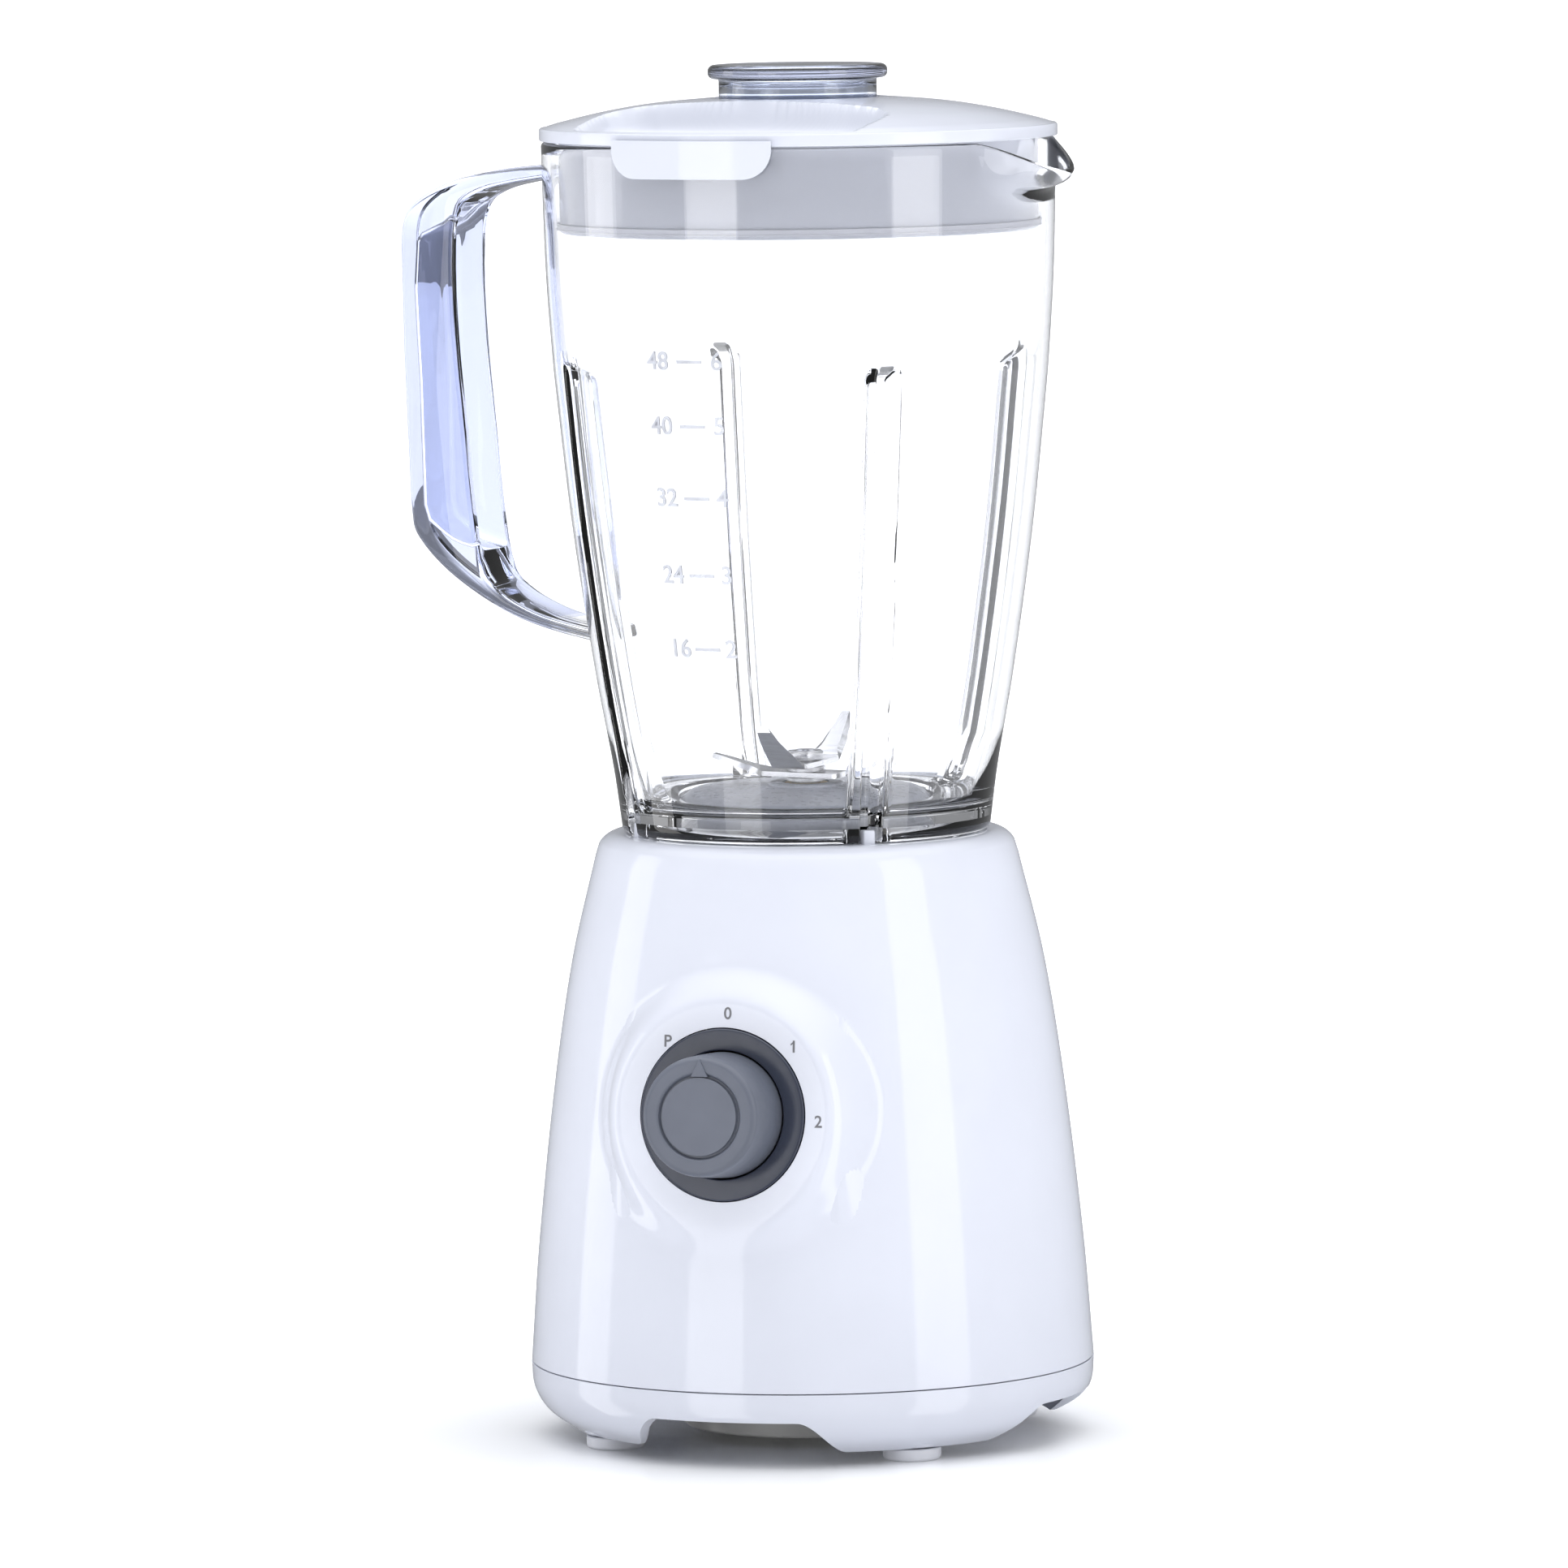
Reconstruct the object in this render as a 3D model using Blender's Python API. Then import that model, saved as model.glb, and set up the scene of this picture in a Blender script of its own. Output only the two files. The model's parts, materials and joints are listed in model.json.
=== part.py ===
"""Countertop blender with a clear jug, in separate pieces. Sizes are in millimetres, objects in metres."""

import math

import bmesh
import bpy
from mathutils import Matrix, Vector, geometry

MM = 0.001
GAP = 0.3
SHARP_ANGLE = math.radians(35)
RING_STEPS = 40
SMALL_STEPS = 16

# Base
SEAM_Z = 21.0
DECK_Z = 168.3
DECK_R = 52.0
WELL_R = 46.0
WELL_FLOOR_Z = 141.0
HOUSING_WALL = 2.5
HOUSING_OUTLINE = [(78.2, SEAM_Z + GAP), (75.7, 54), (70.6, 99.5), (65.3, 133.5), (58.6, 161.8)]
COVER_OUTLINE = [(67.7, 3.7), (74.2, 8.5), (77.5, 14.2), (78.3, SEAM_Z)]
COVER_FLOOR_Z = 14.0
COVER_WALL = 2.5
PAN_R = 36.0
FOOT_CIRCLE_R = 61.0
FOOT_R = 8.0
FOOT_HEIGHT = 3.4
FOOT_ANGLES = [45, 135, 225, 315]
SHAFT_R = 4.0
BORE_R = SHAFT_R + GAP

# Dial
DIAL_Z = 97.0
DIAL_REACH = 73.4
DIAL_TILT = 5.2
BOSS_FACE_R = 29.5
BOSS_ROOT_R = 35.5
BOSS_DEPTH = 12.5
DIAL_RING_R = 23.5
DIAL_RING_IN_R = 17.6
KNOB_BASE_R = 17.2
KNOB_FACE_R = 16.35
KNOB_LENGTH = 19.7
SPINDLE_R = 3.0
SWITCH_SIZE = (26, 26, 15)

# Motor and cord entry
MOTOR_MOUNT_CIRCLE_R = 38.0
STATOR_LOW_Z = 62.0
STATOR_HIGH_Z = 92.0
BEARING_R = 9.0
BRUSH_Z = 104.3
GLAND_Z = 35.0
GLAND_REACH = 82.0

# Jug
JUG_TURN = -6.0
JUG_FOOT_Z = DECK_Z + GAP
JUG_FLOOR_Z = 172.6
JUG_RIM_Z = 359.4
JUG_WALL = 2.4
JUG_RIM_R = 71.0
JUG_OUTLINE = [(50.8, JUG_FOOT_Z), (53.2, 186), (57.9, 212.5), (63.6, 252), (67.8, 291), (68.6, 300),
               (70, 321), (70.7, 342), (JUG_RIM_R, JUG_RIM_Z)]
NECK_IN_R = 36.0
NECK_OUT_R = 39.5
NECK_Z = 158.0
GROOVE_DEPTH = 6.5
GROOVE_TOP_Z = 300.0
SPOUT_REACH = 81.6
SPOUT_HALF_ANGLE = 23.0
SPOUT_ROOT_Z = 342.0
SPOUT_DIP = 8.0
HANDLE_REACH = 118.0
HANDLE_WIDTH = 22.0
HANDLE_WALL = 2.6

# Lid and cap
LID_R = 71.5
LID_EDGE_Z = JUG_RIM_Z + 0.4
LID_OUTLINE = [(LID_R - 0.6, 363.2), (66.3, 364.4), (41, 369.6), (23.4, 371)]
LID_WALL = 2.2
SKIRT_R = 66.2
SKIRT_Z = 334.5
SCOOP_HALF_WIDTH = 42.5
SCOOP_BACK = 27.0
SCOOP_Z = 362.0
SCOOP_FRONT_R = 69.0
TAB_HALF_ANGLE = 19.3
TAB_Z = 351.1
CAP_FLANGE_R = 24.8
CAP_BODY_R = 21.8
CAP_PLUG_R = 20.3
CAP_TOP_Z = 380.0

# The origin is under the middle of the whole object, so the blender's own axis stands beside it.
HANDLE_X = (HANDLE_REACH + 1.2) * math.cos(math.radians(JUG_TURN))
SPOUT_X = SPOUT_REACH * math.cos(math.radians(JUG_TURN))
KNOB_Y = DIAL_REACH + KNOB_LENGTH + 1.0
AXIS_X = (HANDLE_X - SPOUT_X) / 2
AXIS_Y = (KNOB_Y - GLAND_REACH) / 2


def clear_scene():
    for obj in list(bpy.data.objects):
        bpy.data.objects.remove(obj)


def material(name, color, roughness, metallic=0.0, alpha=1.0):
    made = bpy.data.materials.new(name)
    made.use_nodes = True
    shader = made.node_tree.nodes["Principled BSDF"]
    shader.inputs["Base Color"].default_value = (*color, 1)
    shader.inputs["Roughness"].default_value = roughness
    shader.inputs["Metallic"].default_value = metallic
    shader.inputs["Alpha"].default_value = alpha
    made.diffuse_color = (*color, alpha)
    return made


def empty(name, parent=None, location=(0, 0, 0), turn=(0, 0, 0)):
    made = bpy.data.objects.new(name, None)
    bpy.context.scene.collection.objects.link(made)
    made.parent = parent
    made.location = Vector(location) * MM
    made.rotation_euler = [math.radians(angle) for angle in turn]
    return made


def piece(name, bm, parent, look=None, location=(0, 0, 0), turn=(0, 0, 0)):
    """Makes an object in metres from a bmesh in millimetres."""
    bmesh.ops.scale(bm, vec=(MM, MM, MM), verts=bm.verts)
    bmesh.ops.recalc_face_normals(bm, faces=bm.faces)
    mesh = bpy.data.meshes.new(name)
    bm.to_mesh(mesh)
    bm.free()
    mesh.shade_smooth()
    mesh.set_sharp_from_angle(angle=SHARP_ANGLE)
    if look:
        mesh.materials.append(look)
    made = bpy.data.objects.new(name, mesh)
    bpy.context.scene.collection.objects.link(made)
    made.parent = parent
    made.location = Vector(location) * MM
    made.rotation_euler = [math.radians(angle) for angle in turn]
    return made


def tool(name, bm, parent, location=(0, 0, 0), turn=(0, 0, 0)):
    """A hidden body that a Boolean adds or takes away."""
    made = piece(name, bm, parent, None, location, turn)
    made.hide_render = True
    made.display_type = "WIRE"
    return made


def boolean(obj, operation, other):
    modifier = obj.modifiers.new(other.name, "BOOLEAN")
    modifier.operation = operation
    modifier.solver = "EXACT"
    modifier.object = other


def add(obj, other):
    boolean(obj, "UNION", other)


def cut(obj, other):
    boolean(obj, "DIFFERENCE", other)


def turned(profile, steps=SMALL_STEPS, sweep=360):
    """Spins (radius, height) points round Z. A profile from axis to axis makes a solid, any other a ring."""
    bm = bmesh.new()
    verts = [bm.verts.new((radius, 0, height)) for radius, height in profile]
    ends = [] if profile[0][0] == 0 else [(verts[-1], verts[0])]
    edges = [bm.edges.new(pair) for pair in [*zip(verts, verts[1:]), *ends]]
    bmesh.ops.spin(bm, geom=verts + edges, axis=(0, 0, 1), steps=steps, angle=math.radians(sweep),
                   use_merge=sweep == 360)
    bmesh.ops.remove_doubles(bm, verts=bm.verts, dist=0.001)
    if sweep != 360:
        bmesh.ops.holes_fill(bm, edges=[edge for edge in bm.edges if edge.is_boundary], sides=0)
    return bm


def rod(radius, low, high, steps=SMALL_STEPS):
    return turned([(0, low), (radius, low), (radius, high), (0, high)], steps)


def tube(inner, outer, low, high, steps=SMALL_STEPS):
    return turned([(inner, low), (outer, low), (outer, high), (inner, high)], steps)


def prism(outline, low, high):
    """Extrudes an (x, y) outline from one height to another."""
    bm = bmesh.new()
    face = bm.faces.new([bm.verts.new((x, y, low)) for x, y in outline])
    made = bmesh.ops.extrude_face_region(bm, geom=[face])
    lifted = [item for item in made["geom"] if isinstance(item, bmesh.types.BMVert)]
    bmesh.ops.translate(bm, vec=(0, 0, high - low), verts=lifted)
    return bm


def block(size, middle):
    bm = bmesh.new()
    bmesh.ops.create_cube(bm, size=1)
    bmesh.ops.scale(bm, vec=size, verts=bm.verts)
    bmesh.ops.translate(bm, vec=middle, verts=bm.verts)
    return bm


def arc(radius, start, end, steps, middle=(0, 0)):
    """Points on an arc, with the angles in degrees."""
    angles = [math.radians(start + (end - start) * step / steps) for step in range(steps + 1)]
    return [(middle[0] + radius * math.cos(a), middle[1] + radius * math.sin(a)) for a in angles]


def smooth_line(points, per_span):
    """A smooth curve through the points, with its tangents along the chords beside each point."""
    line = [Vector((x, y, 0)) for x, y in points]
    padded = [2 * line[0] - line[1], *line, 2 * line[-1] - line[-2]]
    made = []
    for before, start, end, after in zip(padded, padded[1:], padded[2:], padded[3:]):
        span = geometry.interpolate_bezier(start, start + (end - before) / 6, end - (after - start) / 6, end,
                                           per_span + 1)
        made += [(point.x, point.y) for point in span[:-1]]
    return [*made, points[-1]]


def inset(points, wall):
    return [(radius - wall, height) for radius, height in points]


def copies(maker, angles):
    """One mesh holding a copy of maker's mesh at each angle round Z."""
    whole = bmesh.new()
    for angle in angles:
        single = maker()
        single.transform(Matrix.Rotation(math.radians(angle), 4, "Z"))
        mesh = bpy.data.meshes.new("copy")
        single.to_mesh(mesh)
        single.free()
        whole.from_mesh(mesh)
        bpy.data.meshes.remove(mesh)
    return whole


def at_radius(maker, radius):
    def moved():
        bm = maker()
        bmesh.ops.translate(bm, vec=(radius, 0, 0), verts=bm.verts)
        return bm
    return moved


def fade(value, start, end):
    """Goes smoothly from 1 at start to 0 at end."""
    share = min(max((value - start) / (end - start), 0), 1)
    return 1 - share * share * (3 - 2 * share)


def make_housing(stand, dial, looks):
    outer = smooth_line(HOUSING_OUTLINE, 2)
    shoulder = arc(6.4, 22, 90, 3, (DECK_R, DECK_Z - 6.4))
    well = [(WELL_R + 0.5, DECK_Z), (WELL_R, DECK_Z - 0.5), (WELL_R, WELL_FLOOR_Z), (7.5, WELL_FLOOR_Z)]
    under = [(7.5, WELL_FLOOR_Z - HOUSING_WALL), (WELL_R + HOUSING_WALL, WELL_FLOOR_Z - HOUSING_WALL),
             (WELL_R + HOUSING_WALL, DECK_Z - 3), (52.5, DECK_Z - 3.4)]
    inner = inset(HOUSING_OUTLINE, HOUSING_WALL)[::-1]
    profile = outer + shoulder[1:] + well + under + inner
    housing = piece("base_housing", turned(profile, RING_STEPS), stand, looks["white"])
    boss = turned([(0, -BOSS_DEPTH), (BOSS_ROOT_R, -BOSS_DEPTH), (BOSS_ROOT_R, -7), (32.5, -3.4),
                   (30.4, -0.9), (BOSS_FACE_R, 0), (0, 0)], 28)
    add(housing, tool("dial_boss", boss, dial))
    lug = at_radius(lambda: block((3.9, 3.6, 5.8), (0, 0, DECK_Z + 1.1)), 48.5)
    add(housing, tool("jug_lugs", copies(lug, [JUG_TURN + angle for angle in FOOT_ANGLES]), stand))
    mount_boss = at_radius(lambda: rod(5.5, 126.5, WELL_FLOOR_Z - 1, 8), MOTOR_MOUNT_CIRCLE_R)
    add(housing, tool("motor_bosses", copies(mount_boss, FOOT_ANGLES), stand))
    screw_boss = at_radius(lambda: block((19.3, 10, 22), (5.15, 0, 35)), FOOT_CIRCLE_R)
    add(housing, tool("screw_bosses", copies(screw_boss, FOOT_ANGLES), stand))
    screw_hole = at_radius(lambda: rod(2.3, 20, 38, 8), FOOT_CIRCLE_R)
    cut(housing, tool("screw_holes", copies(screw_hole, FOOT_ANGLES), stand))
    cut(housing, tool("dial_pocket", rod(27, -16, -6.4, 20), dial))
    cut(housing, tool("ring_recess", rod(DIAL_RING_R + GAP, -3.8, 3, 28), dial))
    cut(housing, tool("spindle_hole", rod(SPINDLE_R + 0.6, -9, 1, 16), dial))
    cut(housing, tool("gland_hole", rod(6.3, 60, 90, 20), stand, (0, 0, GLAND_Z), (-90, 0, 0)))


def make_cover(stand, looks):
    outer = smooth_line(COVER_OUTLINE, 2)
    floor_top = COVER_FLOOR_Z + COVER_WALL
    profile = outer + [(75.8, SEAM_Z), (75.6, floor_top + 1), (74, floor_top), (33.5, floor_top),
                       (33.5, 5.6), (0, 5.6)]
    under = [(0, 3), (PAN_R - 0.8, 3), (PAN_R, 3.8), (PAN_R, COVER_FLOOR_Z), (73, COVER_FLOOR_Z),
             (71.4, 9.5), (65.4, 3.7)]
    cover = piece("base_cover", turned([*under, *profile], RING_STEPS), stand, looks["white"])
    leg = at_radius(lambda: rod(8.6, 4, COVER_FLOOR_Z + 1), FOOT_CIRCLE_R)
    add(cover, tool("legs", copies(leg, FOOT_ANGLES), stand))
    side = [(34, 2), (32.5, 3.7), (28, 6.4), (24, 11), (20, 13.1)]
    outline = side + [(-x, z) for x, z in side[::-1]]

    def arch():
        bm = prism(outline, 44, 90)
        bm.transform(Matrix(((0, 0, 1, 0), (1, 0, 0, 0), (0, 1, 0, 0), (0, 0, 0, 1))))
        return bm
    cut(cover, tool("arches", copies(arch, [0, 90, 180, 270]), stand))
    head_hole = at_radius(lambda: turned([(0, 2), (4, 2), (4, 9), (2.3, 9), (2.3, 18), (0, 18)], 10),
                          FOOT_CIRCLE_R)
    cut(cover, tool("leg_holes", copies(head_hole, FOOT_ANGLES), stand))
    slot = at_radius(lambda: block((11, 3.2, 9), (0, 0, 4)), 22)
    cut(cover, tool("air_slots", copies(slot, range(0, 360, 45)), stand))


def make_feet(stand, looks):
    for number, angle in enumerate(FOOT_ANGLES, 1):
        x = FOOT_CIRCLE_R * math.cos(math.radians(angle))
        y = FOOT_CIRCLE_R * math.sin(math.radians(angle))
        pad = turned([(0, 0), (FOOT_R - 0.6, 0), (FOOT_R, 0.6), (FOOT_R, FOOT_HEIGHT), (3.6, FOOT_HEIGHT),
                      (3.6, 5.6), (0, 5.6)], 16)
        piece(f"foot_pad_{number}", pad, stand, looks["foot"], (x, y, 0))
        screw = turned([(0, 6), (3.6, 6), (3.6, 8.7), (1.9, 8.7), (1.9, 36), (0, 36)], 10)
        piece(f"housing_screw_{number}", screw, stand, looks["steel"], (x, y, 0))


def make_dial(dial, looks):
    ring = turned([(DIAL_RING_IN_R, -3.4), (DIAL_RING_R, -3.4), (DIAL_RING_R, 0.2), (DIAL_RING_R - 0.5, 0.7),
                   (DIAL_RING_IN_R + 0.4, 0.7), (DIAL_RING_IN_R, 0.3)], 24)
    piece("dial_ring", ring, dial, looks["slate"])
    piece("rotary_switch", block(SWITCH_SIZE, (0, 0, -14.6)), dial, looks["black"])
    face = [(16.0, KNOB_LENGTH), (11.5, KNOB_LENGTH), (11, KNOB_LENGTH - 0.7), (9.7, KNOB_LENGTH - 0.7),
            (9.2, KNOB_LENGTH), (0, KNOB_LENGTH)]
    back = [(0, 12), (SPINDLE_R + GAP, 12), (SPINDLE_R + GAP, -1.5)]
    sides = [(KNOB_BASE_R - 0.3, -1.5), (KNOB_BASE_R, -1.2), (KNOB_FACE_R, KNOB_LENGTH - 0.6)]
    knob = piece("knob", turned(back + sides + face, 24), dial, looks["grey"])
    pointer = prism([(0, 15.6), (-2.7, 12.4), (2.7, 12.4)], KNOB_LENGTH - 0.5, KNOB_LENGTH + 0.5)
    add(knob, tool("pointer", pointer, dial))
    piece("switch_spindle", rod(SPINDLE_R, -6.8, 11.6, 16), dial, looks["steel"])


def make_stator(stand, looks):
    pole, window = 14, 26
    bow = arc(18.5, 41, 139, 6)
    upper = [(window, window), (pole, window), *bow, (-pole, window), (-window, window)]
    hole = upper + [(-x, -y) for x, y in upper]
    outline = [(33, 26), (27, 32), (-27, 32), (-33, 26), (-33, -26), (-27, -32), (27, -32), (33, -26)]
    core = piece("stator_core", prism(outline, STATOR_LOW_Z, STATOR_HIGH_Z), stand, looks["iron"])
    cut(core, tool("stator_window", prism(hole, STATOR_LOW_Z - 2, STATOR_HIGH_Z + 2), stand))
    for number, side in enumerate((1, -1), 1):
        winding = block((40, 5.4, 42), (0, side * 22.8, 77))
        coil = piece(f"field_coil_{number}", winding, stand, looks["copper"])
        cut(coil, tool(f"coil_window_{number}", block((29, 9, 30.8), (0, side * 22.8, 77)), stand))


def make_motor_frame(stand, looks):
    upper = turned([(9.3, 110.5), (12.5, 110.5), (12.5, 112), (43, 112), (43, 116.5), (12.5, 116.5),
                    (12.5, 120.3), (6, 120.3), (6, 118.1), (9.3, 118.1)], 20)
    upper_bracket = piece("upper_bracket", upper, stand, looks["aluminium"])
    post = at_radius(lambda: rod(2.5, STATOR_HIGH_Z + GAP, 113, 10), 29)
    add(upper_bracket, tool("upper_posts", copies(post, [90, 270]), stand))
    lower = turned([(6, 40), (12.5, 40), (12.5, 44), (36, 44), (36, 48), (12.5, 48), (12.5, 49.8),
                    (9.3, 49.8), (9.3, 42.2), (6, 42.2)], 20)
    lower_bracket = piece("lower_bracket", lower, stand, looks["aluminium"])
    low_post = at_radius(lambda: rod(2.5, 46, STATOR_LOW_Z - GAP, 10), 29)
    add(lower_bracket, tool("lower_posts", copies(low_post, [90, 270]), stand))
    piece("upper_bearing", tube(BORE_R, BEARING_R, 110.8, 117.8), stand, looks["steel"])
    piece("lower_bearing", tube(BORE_R, BEARING_R, 42.5, 49.3), stand, looks["steel"])
    for number, side in enumerate((1, -1), 1):
        holder = piece(f"brush_holder_{number}", block((16, 10, 12.8), (side * 22.5, 0, BRUSH_Z + 1)), stand,
                       looks["brass"])
        cut(holder, tool(f"brush_slot_{number}", block((20, 5.6, 5.6), (side * 22.5, 0, BRUSH_Z)), stand))
        piece(f"carbon_brush_{number}", block((15, 5, 5), (side * 18.9, 0, BRUSH_Z)), stand, looks["black"])
    for number, angle in enumerate(FOOT_ANGLES, 1):
        x = MOTOR_MOUNT_CIRCLE_R * math.cos(math.radians(angle))
        y = MOTOR_MOUNT_CIRCLE_R * math.sin(math.radians(angle))
        piece(f"motor_mount_{number}", tube(2.4, 5, 116.8, 126.2, 14), stand, looks["rubber"], (x, y, 0))
    piece("shaft_seal", tube(BORE_R, 7.2, WELL_FLOOR_Z - 2.3, WELL_FLOOR_Z - 0.2), stand, looks["rubber"])


def make_mains(stand, looks):
    gland = turned([(3.2, 70), (8, 70), (8, 73.2), (6, 73.2), (6, 78.6), (8.5, 78.6), (8.5, 80.5),
                    (7, GLAND_REACH), (3.2, GLAND_REACH)], 20)
    piece("cord_gland", gland, stand, looks["rubber"], (0, 0, GLAND_Z), (-90, 0, 0))
    block_z = COVER_FLOOR_Z + COVER_WALL + GAP
    piece("terminal_block", block((30, 13, 11), (0, 58, block_z + 5.5)), stand, looks["grey"])
    saddle = [(-11, 0), (11, 0), (11, 2.4), (6, 2.4), *arc(6, 0, 180, 6, (0, 3)), (-6, 2.4), (-11, 2.4)]
    clamp = prism(saddle, -62, -55)
    piece("cord_clamp", clamp, stand, looks["grey"], (0, 0, block_z + 11.3), (90, 0, 0))


def dog(half_angle, low, high):
    """One claw of a drive coupling."""
    return prism([*arc(8.6, -half_angle, half_angle, 3), *arc(14.6, half_angle, -half_angle, 3)], low, high)


def make_rotor(stand, looks):
    piece("motor_shaft", rod(SHAFT_R, 24, 148.5), stand, looks["steel"])
    armature = turned([(BORE_R, 55), (11, 55), (14.4, 58), (14.4, 62), (17.7, 62), (17.7, 92), (14.4, 92),
                       (14.4, 95), (11, 97.5), (BORE_R, 97.5)])
    piece("armature", armature, stand, looks["copper"])
    piece("commutator", tube(BORE_R, 11, 98.2, 109), stand, looks["copper"])
    fan = piece("cooling_fan", turned([(0, 26), (30, 26), (30, 28.4), (8, 28.4), (8, 38), (0, 38)]), stand,
                looks["grey"])
    vane = [point for angle in range(0, 360, 45)
            for point in (*arc(29, angle - 2, angle + 2, 1), *arc(7, angle + 15, angle + 30, 1))]
    add(fan, tool("fan_vanes", prism(vane, 27, 37), stand))
    cut(fan, tool("fan_bore", rod(BORE_R, 24, 40), stand))
    drive = turned([(0, 148.8), (BORE_R, 148.8), (BORE_R, 142.3), (15.5, 142.3), (15.5, 145.8), (6.6, 145.8),
                    (6.6, 150), (0, 150)])
    coupling = piece("drive_coupling", drive, stand, looks["black"])
    add(coupling, tool("drive_dogs", copies(lambda: dog(19, 145, 150.8), [0, 90, 180, 270]), stand))


def outline_radius(height):
    """The jug's outer radius at a height."""
    for (low_radius, low), (high_radius, high) in zip(JUG_OUTLINE, JUG_OUTLINE[1:]):
        if height <= high:
            return low_radius + (high_radius - low_radius) * (height - low) / (high - low)
    return JUG_RIM_R


def shape_jug_wall(bm):
    """Crowds the columns toward the grooves, presses the grooves in and draws the spout out."""
    for vert in bm.verts:
        radius = math.hypot(vert.co.x, vert.co.y)
        angle = math.degrees(math.atan2(vert.co.y, vert.co.x))
        height = vert.co.z
        middle = math.floor(angle / 90 + 1e-6) * 90 + 45
        share = (angle - middle) / 45
        from_groove = 45 * (0.22 * share + 0.78 * share ** 3)
        angle = middle + from_groove
        if radius > 44:
            outside = radius > outline_radius(height) - JUG_WALL / 2
            flat, edge = (2.2, 3.4) if outside else (3.6, 6.4)
            side = math.radians(abs(from_groove)) * radius
            radius -= GROOVE_DEPTH * fade(side, flat, edge) * fade(height, GROOVE_TOP_Z - 7, GROOVE_TOP_Z)
        near_spout = fade(abs(angle), 0, SPOUT_HALF_ANGLE)
        radius += (SPOUT_REACH - JUG_RIM_R) * near_spout * (1 - fade(height, SPOUT_ROOT_Z, JUG_RIM_Z))
        height -= SPOUT_DIP * near_spout * (1 - fade(height, SPOUT_ROOT_Z, JUG_RIM_Z))
        vert.co = (radius * math.cos(math.radians(angle)), radius * math.sin(math.radians(angle)), height)


def handle_outline():
    """The handle seen from its side, as (reach, height): two flat arms and an upright grip."""
    top = [(69.2, 352.6), (84, 351.3), (99, 348.4), (107, 345.6), (113, 342), (116.5, 338.5)]
    grip = [(HANDLE_REACH, 333), (HANDLE_REACH - 0.3, 315), (HANDLE_REACH - 2.4, 252), (113.5, 247.4)]
    bottom = [(107, 240.4), (97.8, 233.6), (85.2, 226.8), (72.6, 222.6), (57.2, 219.2)]
    gap = [(58.4, 223), (72.9, 226.2), (80, 228.6), (88, 232.8), (93.4, 238), (96.7, 255.7), (98.7, 277),
           (101.2, 305), (101.6, 330), (100, 340), (94, 344.4), (84, 346.9), (69.2, 349)]
    return top + grip + bottom + gap


def channel_outline():
    """The hollow in the grip, open toward the jug."""
    return [(113.6, 331), (106, 336), (99.5, 341.2), (90, 342), (90, 243.4), (96, 244.5), (104, 247),
            (112, 253)]


def side_prism(outline, width):
    """Stands a (reach, height) outline upright on the handle's side, with the width across it."""
    bm = prism([(-reach, height) for reach, height in outline], -width / 2, width / 2)
    bm.transform(Matrix.Rotation(math.radians(90), 4, "X"))
    return bm


def make_jug(jug_stand, looks):
    inner = [point for point in inset(JUG_OUTLINE, JUG_WALL) if point[1] > JUG_FLOOR_Z + 10][::-1]
    floor = [(47.6, 179), (44.6, JUG_FLOOR_Z + 3), (NECK_IN_R, JUG_FLOOR_Z + 3)]
    neck = [(NECK_IN_R, NECK_Z), (NECK_OUT_R, NECK_Z), (NECK_OUT_R, JUG_FLOOR_Z)]
    foot = [(50.8 - JUG_WALL, JUG_FLOOR_Z), (50.8 - JUG_WALL, JUG_FOOT_Z)]
    bm = turned(JUG_OUTLINE + inner + floor + neck + foot, 64)
    shape_jug_wall(bm)
    jug = piece("jug", bm, jug_stand, looks["clear"])
    handle = tool("handle", side_prism(handle_outline(), HANDLE_WIDTH), jug_stand)
    channel = side_prism(channel_outline(), HANDLE_WIDTH - 2 * HANDLE_WALL)
    cut(handle, tool("grip_channel", channel, jug_stand))
    add(jug, handle)


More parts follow.
